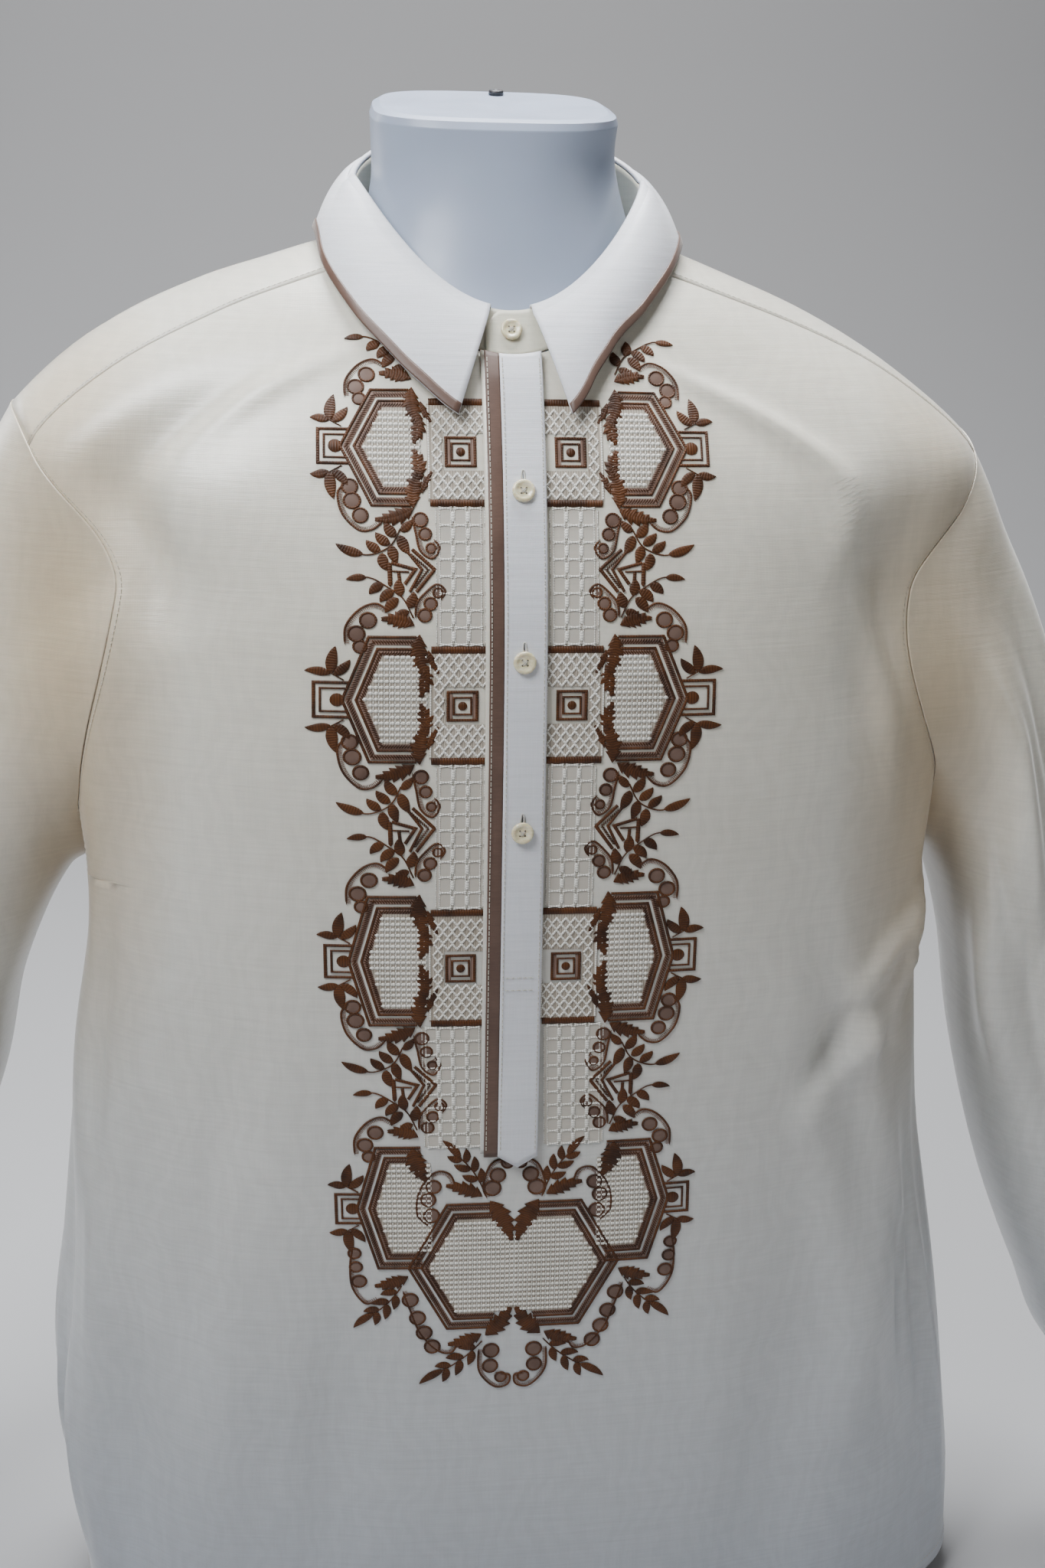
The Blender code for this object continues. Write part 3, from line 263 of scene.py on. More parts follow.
def loop_point(angle, half, z_side, front, back, z_front, z_back, square):
    """A point of a horizontal loop. angle is in degrees: 0 is the centre front and 90 is the +X side."""
    turn = np.radians(angle)
    across, along = np.sin(turn), np.cos(turn)
    full = (np.abs(across) ** square + np.abs(along) ** square) ** (-1 / square)
    ahead = along > 0
    depth = np.where(ahead, front, back)
    z_end = np.where(ahead, z_front, z_back)
    return np.stack([full * half * across, -full * depth * along, z_side + (z_end - z_side) * along ** 2], -1)


FOLD_REACH = 3.4        # in widths; a fold's height is nothing further away


def fold_height(first, second, folds, metres_first, metres_second):
    """The sum of all folds at (first, second), the two surface coordinates, in metres along the normal."""
    first, second = np.broadcast_arrays(np.asarray(first, float), np.asarray(second, float))
    total = np.zeros(first.shape)
    steps = np.linspace(0.0, 1.0, 15)
    for fold in (Fold(*row) for row in folds):
        path_a = fold.side * (fold.a0 + (fold.a1 - fold.a0) * steps + fold.bend * 4 * steps * (1 - steps))
        path_t = fold.t0 + (fold.t1 - fold.t0) * steps
        reach = FOLD_REACH * fold.width
        room_a, room_t = np.degrees(reach / metres_first), reach / metres_second
        close = ((first > path_a.min() - room_a) & (first < path_a.max() + room_a)
                 & (second > path_t.min() - room_t) & (second < path_t.max() + room_t))
        path = np.stack([np.radians(path_a) * metres_first, path_t * metres_second], -1)
        place = np.stack([np.radians(first[close]) * metres_first, second[close] * metres_second], -1)
        near = np.full(len(place), np.inf)
        along = np.zeros(len(place))
        for k, (start, run) in enumerate(zip(path[:-1], np.diff(path, axis=0))):
            share = np.clip((place - start) @ run / (run @ run), 0, 1)
            gap = np.hypot(*(place - start - share[:, None] * run).T)
            closer = gap < near
            near = np.where(closer, gap, near)
            along = np.where(closer, (k + share) / (len(path) - 1), along)
        fade = np.sin(np.pi * (0.04 + 0.92 * along)) ** 1.2
        total[close] += fold.height * fade * np.exp(-((near / fold.width) ** 2))
    return total


def normals_of(surface, first, second, step_first, step_second):
    along_first = surface(first + step_first, second) - surface(first - step_first, second)
    along_second = surface(first, second + step_second) - surface(first, second - step_second)
    normal = np.cross(along_first, along_second)
    return normal / np.linalg.norm(normal, axis=-1, keepdims=True)


def plain_body(angle, t):
    wrapped = (np.asarray(angle, float) + 180.0) % 360.0 - 180.0
    on_left = wrapped < 0
    half = np.where(on_left, body_level("left", t), body_level("right", t))
    z_side = np.where(on_left, body_level("z_left", t), body_level("z_right", t))
    return loop_point(wrapped, half, z_side, *(body_level(name, t) for name in BODY_COLUMNS[5:]))


def body_normal(angle, t):
    return normals_of(plain_body, angle, np.minimum(t, 0.998), 0.5, 0.002)


def body_point(angle, t, out=0.0):
    """A point of the shirt's body with its folds, moved out by a distance."""
    wrapped = (np.asarray(angle, float) + 180.0) % 360.0 - 180.0
    calm = smooth((1.0 - t) / 0.10) * smooth((np.abs(wrapped) - 6.0) / 14.0)
    calm = calm * (1 - np.exp(-(((np.abs(wrapped) - 90.0) / 24.0) ** 2) - ((t - ARMPIT_T) / 0.08) ** 2))
    raised = fold_height(wrapped, t, BODY_FOLDS, FOLD_GIRTH, FOLD_RISE) * calm + out
    return plain_body(angle, t) + body_normal(angle, t) * np.asarray(raised)[..., None]


def armhole(side, q):
    """The armhole's (angle, t) q degrees round it: 0 at the shoulder tip, 90 in front, 180 at the armpit."""
    turn = np.radians(q)
    front, front_shape, front_high = ARMHOLE_FRONT[side]
    back, back_shape, back_high = ARMHOLE_BACK
    ahead = np.sin(turn) > 0
    reach = np.where(ahead, front, -back) * (1 + np.where(ahead, front_high, back_high) * np.cos(turn))
    shape = np.where(ahead, front_shape, back_shape)
    middle, radius = (TIP_T + ARMPIT_T) / 2, (TIP_T - ARMPIT_T) / 2
    return 90.0 - reach * np.abs(np.sin(turn)) ** shape, middle + radius * np.cos(turn)


def armhole_q(t):
    """How far round the armhole the level t lies."""
    middle, radius = (TIP_T + ARMPIT_T) / 2, (TIP_T - ARMPIT_T) / 2
    return np.degrees(np.arccos(np.clip((t - middle) / radius, -1, 1)))


def sleeve_ring(side, q, w):
    """A sleeve's section without the armhole's pull or folds."""
    turn = np.radians(q)
    tail = "_r" if side > 0 else "_l"
    outer = np.stack([sleeve_level("out" + tail, w), sleeve_level("out_z" + tail, w)], -1)
    inner = np.stack([sleeve_level("in" + tail, w), sleeve_level("in_z" + tail, w)], -1)
    full = (np.abs(np.sin(turn)) ** 2.3 + np.abs(np.cos(turn)) ** 2.3) ** (-1 / 2.3)
    flat = (outer + inner) / 2 + (outer - inner) / 2 * (full * np.cos(turn))[..., None]
    y = sleeve_level("back", w) - sleeve_level("depth", w) * full * np.sin(turn)
    return np.stack([side * flat[..., 0], y, flat[..., 1]], -1)


def plain_sleeve(side, q, w):
    ring = sleeve_ring(side, q, w)
    angle, t = armhole(side, q)
    start = body_point(side * angle, t)
    fade = BLEND_LOW + (BLEND_HIGH - BLEND_LOW) * (0.5 + 0.5 * np.cos(np.radians(q)))
    pull = (1 - np.clip(w / fade, 0, 1)) ** 2
    place = ring + (start - sleeve_ring(side, q, np.zeros_like(w))) * pull[..., None]
    below = (0.5 - 0.5 * np.cos(np.radians(q))) ** 3
    place[..., 0] += side * below * UNDERARM_ROOM * smooth(w / 0.04)
    return place


def sleeve_point(side, q, w, out=0.0):
    q, w = np.broadcast_arrays(np.asarray(q, float), np.asarray(w, float))
    wrapped = (q + 180.0) % 360.0 - 180.0
    folds = [(1,) + row[1:] for row in SLEEVE_FOLDS if row[0] == side]
    calm = smooth(w / 0.06) * smooth((1 - w) / 0.08)
    raised = fold_height(wrapped, w, folds, SLEEVE_GIRTH, SLEEVE_LENGTH) * calm + out

    inside = np.clip(w, 0.003, 0.997)
    surface = partial(plain_sleeve, side)
    normal = normals_of(surface, wrapped, inside, 1.0, 0.003) * -side
    return plain_sleeve(side, wrapped, w) + normal * raised[..., None]


def side_angle(side, t):
    """The front panel's outer edge: the side seam, the armhole, then the shoulder seam up to the neckline."""
    round_armhole = armhole(side, np.minimum(armhole_q(t), 179.99))[0]
    seam_start = armhole(side, armhole_q(SHOULDER_SEAM_T))[0]
    up_seam = (t - SHOULDER_SEAM_T) / (1 - SHOULDER_SEAM_T)
    on_seam = seam_start + (SEAM_NECK - seam_start) * up_seam
    return np.where(t <= ARMPIT_T, 90.0, np.where(t <= SHOULDER_SEAM_T, round_armhole, on_seam))


def back_angle(t):
    """The back panel's outer edge, up to the yoke seam."""
    round_armhole = armhole(1, -np.minimum(armhole_q(t), 179.99))[0]
    return np.where(t <= ARMPIT_T, 90.0, round_armhole)


def gap_angle(t, metres):
    """The turn that moves a point of the body sideways by a distance."""
    return np.degrees(metres / np.maximum(body_level("right", t), 0.05))


PANEL_TOP_T = 0.9992    # the neckline edge of the front and the yoke


def angle_at(x, t):
    """The angle at which the body's loop passes the distance x from the centre line."""
    half = np.where(x < 0, body_level("left", t), body_level("right", t))
    return np.degrees(np.arcsin(np.clip(x / half, -1, 1)))


def level_at(z):
    """The level at which the centre front passes the height z."""
    fine = np.linspace(0.0, 1.0, 801)
    return np.interp(z, body_level("z_front", fine), fine)


def cuff_point(side, q, s, out):
    """A cuff's section: it carries on from the sleeve's end, along its own axis."""
    round_end = np.linspace(-180.0, 180.0, 33)[:-1]
    centre = sleeve_point(side, round_end, np.ones(32)).mean(axis=0)
    spread = sleeve_point(side, q, np.ones(len(q))) - centre
    reach = np.linalg.norm(spread, axis=1, keepdims=True)
    drop_out, drop_z = CUFF_DROP[side]
    axis = np.array([side * drop_out, -0.004, drop_z])
    return centre + spread * (0.97 + out[:, None] / reach) + axis * s


UNDERLAP_OUT = LAY_GAP + COLLAR_CLOTH
PLACKET_OUT = UNDERLAP_OUT + LAY_GAP + COLLAR_CLOTH


def fold_line(angle):
    turn = np.radians(angle)
    depth = np.where(np.cos(turn) > 0, FOLD_FRONT, FOLD_BACK)
    z_end = np.where(np.cos(turn) > 0, FOLD_Z_FRONT, FOLD_Z_BACK)
    dip = np.where(np.cos(turn) > 0, FOLD_DIP_FRONT, FOLD_DIP_BACK)
    z = FOLD_Z_SIDE + (z_end - FOLD_Z_SIDE) * np.abs(np.cos(turn)) ** dip
    return np.stack([FOLD_HALF_WIDTH * np.sin(turn), -depth * np.cos(turn), z], -1)


def stand_point(angle, s, out):
    """The stand rises from the neckline (s 0) to the fold line (s 1). out moves it away from the neck."""
    turn = np.radians(angle)
    wrapped = (angle + 180.0) % 360.0 - 180.0
    base = body_point(wrapped, np.full(np.shape(wrapped), 1.0))
    base[..., 2] += STAND_BASE_LIFT
    top = fold_line(wrapped)
    top[..., 2] -= STAND_TOP_DROP
    outward = np.stack([np.sin(turn), -np.cos(turn), np.zeros_like(turn)], -1)
    return base + (top - base) * np.asarray(s)[..., None] + outward * np.asarray(out)[..., None]


def stand_out(angles):
    """The stand's own distance from its base line: its two ends pass each other at the centre front."""
    over = STAND_LAP * (1 - smooth((angles + STAND_OVERLAP) / 40.0))
    under = STAND_LAP * smooth((angles - 320.0) / 40.0)
    return over - under - CLOTH


def fall_base(v, s):
    v, s = np.broadcast_arrays(np.asarray(v, float), np.asarray(s, float))
    side = np.where(v < 0, -1.0, 1.0)
    from_front = 1 - np.abs(v)
    top = fold_line(side * (FALL_START + (180.0 - FALL_START) * from_front)) + np.array([0, 0, FALL_TOP_LIFT])
    edge_a = side * fall_edge("a", from_front)
    edge_t = np.where(v < 0, fall_edge("t_right", from_front), fall_edge("t_left", from_front))
    edge = body_point(edge_a, edge_t, FALL_CLEARANCE)
    outward = body_normal(edge_a, edge_t) * np.array([1, 1, 0.35])
    outward = outward / np.linalg.norm(outward, axis=-1, keepdims=True)
    lift = 0.0035 * np.sin(np.pi * np.clip(s, 0, 1)) + 0.0022 * (1 - np.exp(-((s / 0.10) ** 2)))
    return top + (edge - top) * s[..., None] + outward * lift[..., None]


def fall_point(v, s, out=0.0):
    """The fall: v from -1 to 1 round the neck (0 at the centre back), s from the fold to the free edge."""
    v, s = np.broadcast_arrays(np.asarray(v, float), np.asarray(s, float))
    normal = normals_of(fall_base, np.clip(v, -0.99, 0.99), s, 0.01, 0.02)
    return fall_base(v, s) + normal * out


# Small folds that only the looks have, in the same columns as the body's and the sleeves' own.
FINE_BODY_FOLDS = (
    (-1, 42, 0.86, 4, 58, 0.62, 0.012, 0.0018),
    (-1, 60, 0.74, 5, 76, 0.52, 0.009, -0.0020),
    (-1, 30, 0.60, -3, 35, 0.10, 0.018, 0.0016),
    (-1, 46, 0.50, 2, 51, 0.05, 0.014, -0.0018),
    (-1, 60, 0.42, 2, 58, 0.02, 0.012, 0.0020),
    (-1, 74, 0.46, 1, 72, 0.06, 0.010, -0.0015),
    (-1, 80, 0.40, 1, 82, 0.00, 0.009, 0.0014),
    (1, 38, 0.84, 4, 52, 0.62, 0.010, 0.0022),
    (1, 68, 0.58, -9, 48, 0.47, 0.008, 0.0030),
    (1, 62, 0.55, -8, 42, 0.44, 0.007, -0.0022),
    (1, 56, 0.50, -6, 38, 0.40, 0.007, 0.0018),
    (1, 34, 0.56, 3, 43, 0.14, 0.011, 0.0022),
    (1, 45, 0.50, 3, 51, 0.06, 0.010, -0.0020),
    (1, 56, 0.40, 2, 60, 0.02, 0.010, 0.0020),
    (1, 70, 0.44, 1, 73, 0.06, 0.009, -0.0018),
    (1, 26, 0.36, 1, 24, 0.02, 0.016, 0.0012),
    (1, 82, 0.42, -1, 80, 0.02, 0.009, 0.0014),
    (-1, 112, 0.70, 3, 122, 0.30, 0.012, 0.0022),
    (-1, 128, 0.56, 2, 132, 0.04, 0.011, -0.0018),
    (-1, 150, 0.62, -2, 152, 0.06, 0.014, 0.0018),
    (-1, 170, 0.48, 1, 168, 0.00, 0.013, -0.0014),
    (1, 108, 0.66, -3, 120, 0.30, 0.011, 0.0022),
    (1, 126, 0.52, 2, 130, 0.02, 0.012, 0.0018),
    (1, 148, 0.60, 2, 150, 0.08, 0.013, -0.0018),
    (1, 172, 0.40, -1, 170, 0.00, 0.014, 0.0016),
    (-1, 33, 0.98, 3, 37, 0.80, 0.010, 0.0018),
    (-1, 66, 0.84, 4, 76, 0.60, 0.010, -0.0030),
    (-1, 58, 0.86, 4, 68, 0.56, 0.008, 0.0028),
    (1, 62, 0.84, 4, 72, 0.58, 0.009, 0.0032),
    (1, 70, 0.80, 3, 80, 0.62, 0.009, -0.0026),
    (1, 40, 0.62, 4, 50, 0.30, 0.009, 0.0022),
    (1, 50, 0.40, 3, 56, 0.12, 0.007, -0.0022),
    (1, 66, 0.34, 2, 66, 0.00, 0.007, 0.0024),
    (-1, 34, 0.52, 2, 40, 0.20, 0.010, -0.0018),
    (-1, 70, 0.22, 1, 72, -0.02, 0.008, 0.0030),
    (1, 30, 0.97, 2, 38, 0.80, 0.008, 0.0024),
    (1, 70, 0.60, -6, 58, 0.47, 0.006, 0.0034),
    (-1, 106, 0.80, 8, 134, 0.46, 0.016, 0.0042),
    (-1, 122, 0.60, 5, 146, 0.10, 0.020, 0.0036),
    (-1, 146, 0.44, -4, 136, -0.02, 0.016, 0.0040),
    (-1, 172, 0.74, 3, 158, 0.30, 0.014, 0.0030),
    (1, 104, 0.78, 8, 130, 0.50, 0.015, 0.0044),
    (1, 116, 0.62, -5, 138, 0.14, 0.018, 0.0038),
    (1, 142, 0.50, 4, 150, -0.02, 0.018, 0.0036),
    (1, 166, 0.70, -3, 150, 0.34, 0.014, 0.0030),
    (1, 176, 0.36, 2, 174, -0.02, 0.020, 0.0036),
    (-1, 56, 0.66, 4, 60, 0.34, 0.008, -0.0022),
    (-1, 24, 0.34, 1, 27, 0.00, 0.010, 0.0018),
    (-1, 84, 0.30, 1, 80, 0.02, 0.006, 0.0030),
)
FINE_SLEEVE_FOLDS = (
    (1, 66, 0.10, 6, 84, 0.42, 0.006, 0.0030),
    (1, 92, 0.16, 5, 104, 0.46, 0.006, 0.0022),
    (1, 56, 0.30, 4, 70, 0.78, 0.007, 0.0020),
    (1, 84, 0.44, 3, 78, 0.88, 0.006, -0.0020),
    (1, 118, 0.12, 4, 124, 0.36, 0.006, -0.0020),
    (1, 20, 0.20, 4, 34, 0.66, 0.008, 0.0014),
    (1, -40, 0.10, 4, -58, 0.50, 0.008, 0.0020),
    (1, -88, 0.30, 4, -80, 0.80, 0.007, -0.0020),
    (-1, 44, 0.08, 6, 60, 0.44, 0.008, -0.0022),
    (-1, 84, 0.08, 5, 96, 0.34, 0.007, 0.0024),
    (-1, 112, 0.24, 4, 104, 0.70, 0.007, 0.0020),
    (-1, 70, 0.46, 3, 74, 0.90, 0.007, -0.0016),
    (-1, 22, 0.20, 4, 34, 0.60, 0.009, 0.0014),
    (-1, -44, 0.10, 4, -60, 0.54, 0.008, 0.0020),
    (-1, -90, 0.34, 4, -82, 0.84, 0.007, -0.0020),
)
FINE_FOLD_GAIN = 2.2
RIPPLES = (   # low waves all over the cloth: along x, y and z in radians per metre, phase, height
    (27.0, 17.0, 4.0, 0.4, 0.0011),
    (-19.0, 26.0, 7.0, 1.9, 0.0010),
    (13.0, -11.0, 14.0, 3.1, 0.0006),
    (46.0, 21.0, -9.0, 0.9, 0.0004),
)


def ripple(points):
    total = np.zeros(points.shape[:-1])
    for kx, ky, kz, phase, height in RIPPLES:
        total += height * np.sin(points @ np.array([kx, ky, kz]) + phase)
    return total


def calm_body(angle, t):
    """1 where the body's cloth may move, fading to 0 at the placket, the neck and the armholes."""
    off = np.abs((np.asarray(angle, float) + 180.0) % 360.0 - 180.0)
    calm = smooth((1.0 - t) / 0.10) * smooth((off - 6.0) / 14.0)
    hole = 1 - np.exp(-(((off - 90.0) / 24.0) ** 2) - ((t - ARMPIT_T) / 0.08) ** 2)
    return calm * hole


def cloth_body(angle, t, out=0.0):
    """The body with its small folds too, moved out by a distance."""
    wrapped = (np.asarray(angle, float) + 180.0) % 360.0 - 180.0
    t = np.asarray(t, float)
    wrapped, t = np.broadcast_arrays(wrapped, t)
    off = np.abs(wrapped)
    near_seam = smooth(np.abs(off - 90.0) / 4.0)
    small = FINE_FOLD_GAIN * fold_height(wrapped, t, FINE_BODY_FOLDS, FOLD_GIRTH, FOLD_RISE)
    small = small + ripple(plain_body(wrapped, t)) * smooth((off - 20.0) / 20.0)
    return body_point(wrapped, t, small * calm_body(wrapped, t) * near_seam + out)


def cloth_sleeve(side, q, w, out=0.0):
    q, w = np.broadcast_arrays(np.asarray(q, float), np.asarray(w, float))
    wrapped = (q + 180.0) % 360.0 - 180.0
    folds = [(1,) + row[1:] for row in FINE_SLEEVE_FOLDS if row[0] == side]
    small = fold_height(wrapped, w, folds, SLEEVE_GIRTH, SLEEVE_LENGTH)
    small = small + ripple(sleeve_ring(side, wrapped, w))
    gather = 0.0011 * np.sin(np.radians(wrapped) * 26) * smooth((w - 0.90) / 0.08)
    calm = smooth(w / 0.06) * smooth((1 - w) / 0.03)
    place = sleeve_point(side, q, w, (small + gather) * calm + out)
    angle, t = armhole(side, wrapped)
    follow = cloth_body(side * angle, t) - body_point(side * angle, t)
    return place + follow * ((1 - np.clip(w / 0.10, 0, 1)) ** 2)[..., None]


# Materials

def node_tree(name, colour, roughness, **constants):
    material = bpy.data.materials.new(name)
    material.use_nodes = True
    shader = material.node_tree.nodes["Principled BSDF"]
    shader.inputs["Base Color"].default_value = (*colour, 1.0)
    shader.inputs["Roughness"].default_value = roughness
    for socket, value in constants.items():
        shader.inputs[socket.replace("_", " ")].default_value = value
    return material, material.node_tree, shader


def add_node(tree, kind, inputs=(), **settings):
    node = tree.nodes.new("ShaderNode" + kind)
    for key, value in settings.items():
        setattr(node, key, value)
    for key, value in dict(inputs).items():
        if isinstance(value, bpy.types.NodeSocket):
            tree.links.new(value, node.inputs[key])
        else:
            node.inputs[key].default_value = value
    return node


def place_map(tree, scale, source="Object", turn=(0.0, 0.0, 0.0)):
    coordinates = add_node(tree, "TexCoord")
    return add_node(tree, "Mapping", {"Vector": coordinates.outputs[source], "Scale": scale,
                                      "Rotation": turn}).outputs["Vector"]


def noise(tree, scale, detail=3.0, rough=0.5, stretch=(1.0, 1.0, 1.0)):
    return add_node(tree, "TexNoise", {"Vector": place_map(tree, stretch), "Scale": scale, "Detail": detail,
                                       "Roughness": rough}).outputs["Fac"]


def ramp(tree, factor, stops):
    node = add_node(tree, "ValToRGB", {"Fac": factor})
    elements = node.color_ramp.elements
    while len(elements) < len(stops):
        elements.new(0.5)
    for element, (at, colour) in zip(elements, stops):
        element.position = at
        element.color = (*colour, 1.0) if len(colour) == 3 else colour
    return node.outputs["Color"]


def grey(value):
    return (value, value, value)


def blend(tree, factor, first, second, mode="MIX"):
    node = add_node(tree, "Mix", data_type="RGBA", blend_type=mode)
    for index, value in ((0, factor), (6, first), (7, second)):
        if isinstance(value, bpy.types.NodeSocket):
            tree.links.new(value, node.inputs[index])
        elif index:
            node.inputs[index].default_value = (*value, 1.0)
        else:
            node.inputs[index].default_value = value
    return node.outputs[2]


def maths(tree, operation, first, second=0.0):
    node = add_node(tree, "Math", operation=operation)
    for index, value in enumerate((first, second)):
        if isinstance(value, bpy.types.NodeSocket):
            tree.links.new(value, node.inputs[index])
        else:
            node.inputs[index].default_value = value
    return node.outputs[0]


def bump(tree, shader, height, strength, distance):
    node = add_node(tree, "Bump", {"Strength": strength, "Distance": distance, "Height": height})
    tree.links.new(node.outputs["Normal"], shader.inputs["Normal"])


def colour_to(tree, shader, socket):
    tree.links.new(socket, shader.inputs["Base Color"])


def wave(tree, scale, distortion=0.0, axis="X", source="Object", detail=1.0):
    return add_node(tree, "TexWave", {"Vector": place_map(tree, (1.0, 1.0, 1.0), source), "Scale": scale,
                                      "Distortion": distortion, "Detail": detail},
                    bands_direction=axis).outputs["Fac"]


WEAVE_PITCH = 560.0
SHADE_PLACES = ((-0.225, -0.04, 0.60), (0.232, -0.04, 0.56))    # where the sleeves shade the body
SHADE_REACH = (0.07, 0.13, 0.25)
SHADE_TINT = (0.68, 0.52, 0.32)


def woven(name, light, dark, slub, roughness, sheen, painted_foot_shade=None, moire=0.0):
    """A plain weave with long level slubs, soft cloudy tone and a fine grain; if painted_foot_shade is given,
    painted shade too: a darker, bluer foot where the light falls off and a warm tint round the armpits.
    """
    material, tree, shader = node_tree(name, light, roughness, Sheen_Weight=sheen, Sheen_Roughness=0.30,
                                       Subsurface_Weight=0.06, Subsurface_Scale=0.003,
                                       Specular_IOR_Level=0.80)
    colour = ramp(tree, noise(tree, 5.5, 3.0, 0.55), ((0.30, dark), (0.68, light)))
    # painted shade: below about 0.6 m the cloth blends towards the darker, bluer foot colour, where the light
    # falls off, and a warm beige tint is multiplied in round the armpits, where the sleeves shade the body
    if painted_foot_shade:
        height = add_node(tree, "SeparateXYZ", {"Vector": add_node(tree, "TexCoord").outputs["Object"]})
        share = ramp(tree, height.outputs["Z"], ((0.05, grey(1.0)), (0.62, grey(0.0))))
        colour = blend(tree, share, colour, painted_foot_shade)
        for place in SHADE_PLACES:
            near = add_node(tree, "Mapping", {"Vector": add_node(tree, "TexCoord").outputs["Object"],
                                              "Scale": [1 / r for r in SHADE_REACH],
                                              "Location": [-p / r for p, r in zip(place, SHADE_REACH)]})
            away = add_node(tree, "VectorMath", {0: near.outputs["Vector"]}, operation="LENGTH")
            share = ramp(tree, away.outputs["Value"], ((0.1, grey(1.0)), (1.0, grey(0.0))))
            colour = blend(tree, share, colour, SHADE_TINT, "MULTIPLY")
    slubs = ramp(tree, noise(tree, 1.0, 4.0, 0.62, (26.0, 26.0, 620.0)),
                 ((0.30, grey(1.0 - slub)), (0.62, grey(1.0))))
    strands = ramp(tree, noise(tree, 1.0, 2.0, 0.5, (900.0, 900.0, 60.0)),
                   ((0.25, grey(1.0 - slub * 0.6)), (0.70, grey(1.0))))
    colour = blend(tree, 1.0, blend(tree, 1.0, colour, slubs, "MULTIPLY"), strands, "MULTIPLY")
    if moire:
        watered = ramp(tree, wave(tree, 26.0, 14.0, "X", detail=2.5),
                       ((0.25, grey(1.0 - moire)), (0.75, grey(1.0))))
        colour = blend(tree, 1.0, colour, watered, "MULTIPLY")
    colour_to(tree, shader, colour)
    level = wave(tree, WEAVE_PITCH, 1.2, "Z")
    upright = wave(tree, WEAVE_PITCH, 1.2, "X")
    height = maths(tree, "ADD", maths(tree, "MULTIPLY", level, 0.10), maths(tree, "MULTIPLY", upright, 0.07))
    height = maths(tree, "ADD", height, noise(tree, 1.0, 3.0, 0.6, (22.0, 22.0, 420.0)))
    bump(tree, shader, height, 0.28, 0.0005)
    return material


def threads(name, light, dark, roughness, pitch=1500.0):
    """Satin stitches: fine ridges across the stroke with painted shade in the grooves between them, in a
    thread whose tone wanders.
    """
    material, tree, shader = node_tree(name, light, roughness, Sheen_Weight=0.06, Sheen_Roughness=0.3,
                                       Specular_IOR_Level=0.30)
    wander = ramp(tree, noise(tree, 70.0, 2.0, 0.6), ((0.32, dark), (0.62, light)))
    strands = wave(tree, pitch / 6.283, 0.6, "X", "UV")
    # painted shade: the colour darkens to 0.62 in the grooves between stitch ridges, where the bump is lowest
    shade = ramp(tree, strands, ((0.0, grey(0.62)), (0.55, grey(1.0))))
    colour_to(tree, shader, blend(tree, 1.0, wander, shade, "MULTIPLY"))
    bump(tree, shader, strands, 0.5, 0.0003)
    return material


def satin(name, light, dark):
    material, tree, shader = node_tree(name, light, 0.38, Sheen_Weight=0.4, Sheen_Roughness=0.3)
    cloud = ramp(tree, noise(tree, 30.0, 3.0, 0.6), ((0.3, dark), (0.7, light)))
    ribs = ramp(tree, noise(tree, 1.0, 2.0, 0.5, (200.0, 200.0, 1500.0)),
                ((0.3, grey(0.86)), (0.7, grey(1.0))))
    colour_to(tree, shader, blend(tree, 1.0, cloud, ribs, "MULTIPLY"))
    bump(tree, shader, wave(tree, 900.0, 1.0, "Z"), 0.2, 0.0003)
    return material


def pearl(name):
    material, tree, shader = node_tree(name, (0.66, 0.62, 0.48), 0.22, Coat_Weight=0.6, Coat_Roughness=0.08,
                                       Subsurface_Weight=0.15, Subsurface_Scale=0.002)
    swirl = noise(tree, 260.0, 4.0, 0.65, (1.0, 1.0, 2.2))
    colour_to(tree, shader, ramp(tree, swirl, ((0.30, (0.60, 0.52, 0.31)), (0.52, (0.76, 0.69, 0.46)),
                                               (0.72, (0.88, 0.84, 0.68)))))
    bump(tree, shader, swirl, 0.12, 0.0003)
    return material


def plastic(name, light, dark, roughness):
    material, tree, shader = node_tree(name, light, roughness, Subsurface_Weight=0.05, Subsurface_Scale=0.01)
    cloud = noise(tree, 9.0, 4.0, 0.6)
    colour_to(tree, shader, ramp(tree, cloud, ((0.3, dark), (0.7, light))))
    speck = noise(tree, 420.0, 3.0, 0.6)
    rough = ramp(tree, noise(tree, 22.0, 5.0, 0.7),
                 ((0.3, grey(roughness - 0.07)), (0.7, grey(roughness + 0.08))))
    tree.links.new(rough, shader.inputs["Roughness"])
    bump(tree, shader, speck, 0.08, 0.0003)
    return material


# the sheer cloth, with painted shade: a darker, bluer foot and warm beige round the armpits
CLOTH_LOOK = woven("sheer_ivory_cloth", (0.80, 0.76, 0.665), (0.70, 0.66, 0.565), 0.08, 0.33, 0.35,
                   (0.50, 0.535, 0.59), 0.035)
COLLAR_LOOK = woven("white_interlined_cloth", (0.76, 0.77, 0.81), (0.70, 0.71, 0.76), 0.08, 0.58, 0.25)
STAND_LOOK = woven("shaded_stand_cloth", (0.72, 0.70, 0.58), (0.66, 0.64, 0.52), 0.08, 0.58, 0.25)
SATIN_LOOK = satin("dusty_brown_satin", (0.145, 0.085, 0.063), (0.100, 0.056, 0.041))
BROWN_THREAD = threads("brown_thread", (0.108, 0.036, 0.0092), (0.040, 0.0130, 0.0036), 0.46)
PALE_THREAD = threads("mauve_brown_thread", (0.27, 0.175, 0.138), (0.18, 0.108, 0.082), 0.5)
WHITE_THREAD = threads("cream_thread", (0.93, 0.91, 0.85), (0.86, 0.84, 0.77), 0.45)
SEWING_THREAD = threads("ivory_sewing_thread", (0.70, 0.67, 0.58), (0.62, 0.59, 0.50), 0.5)
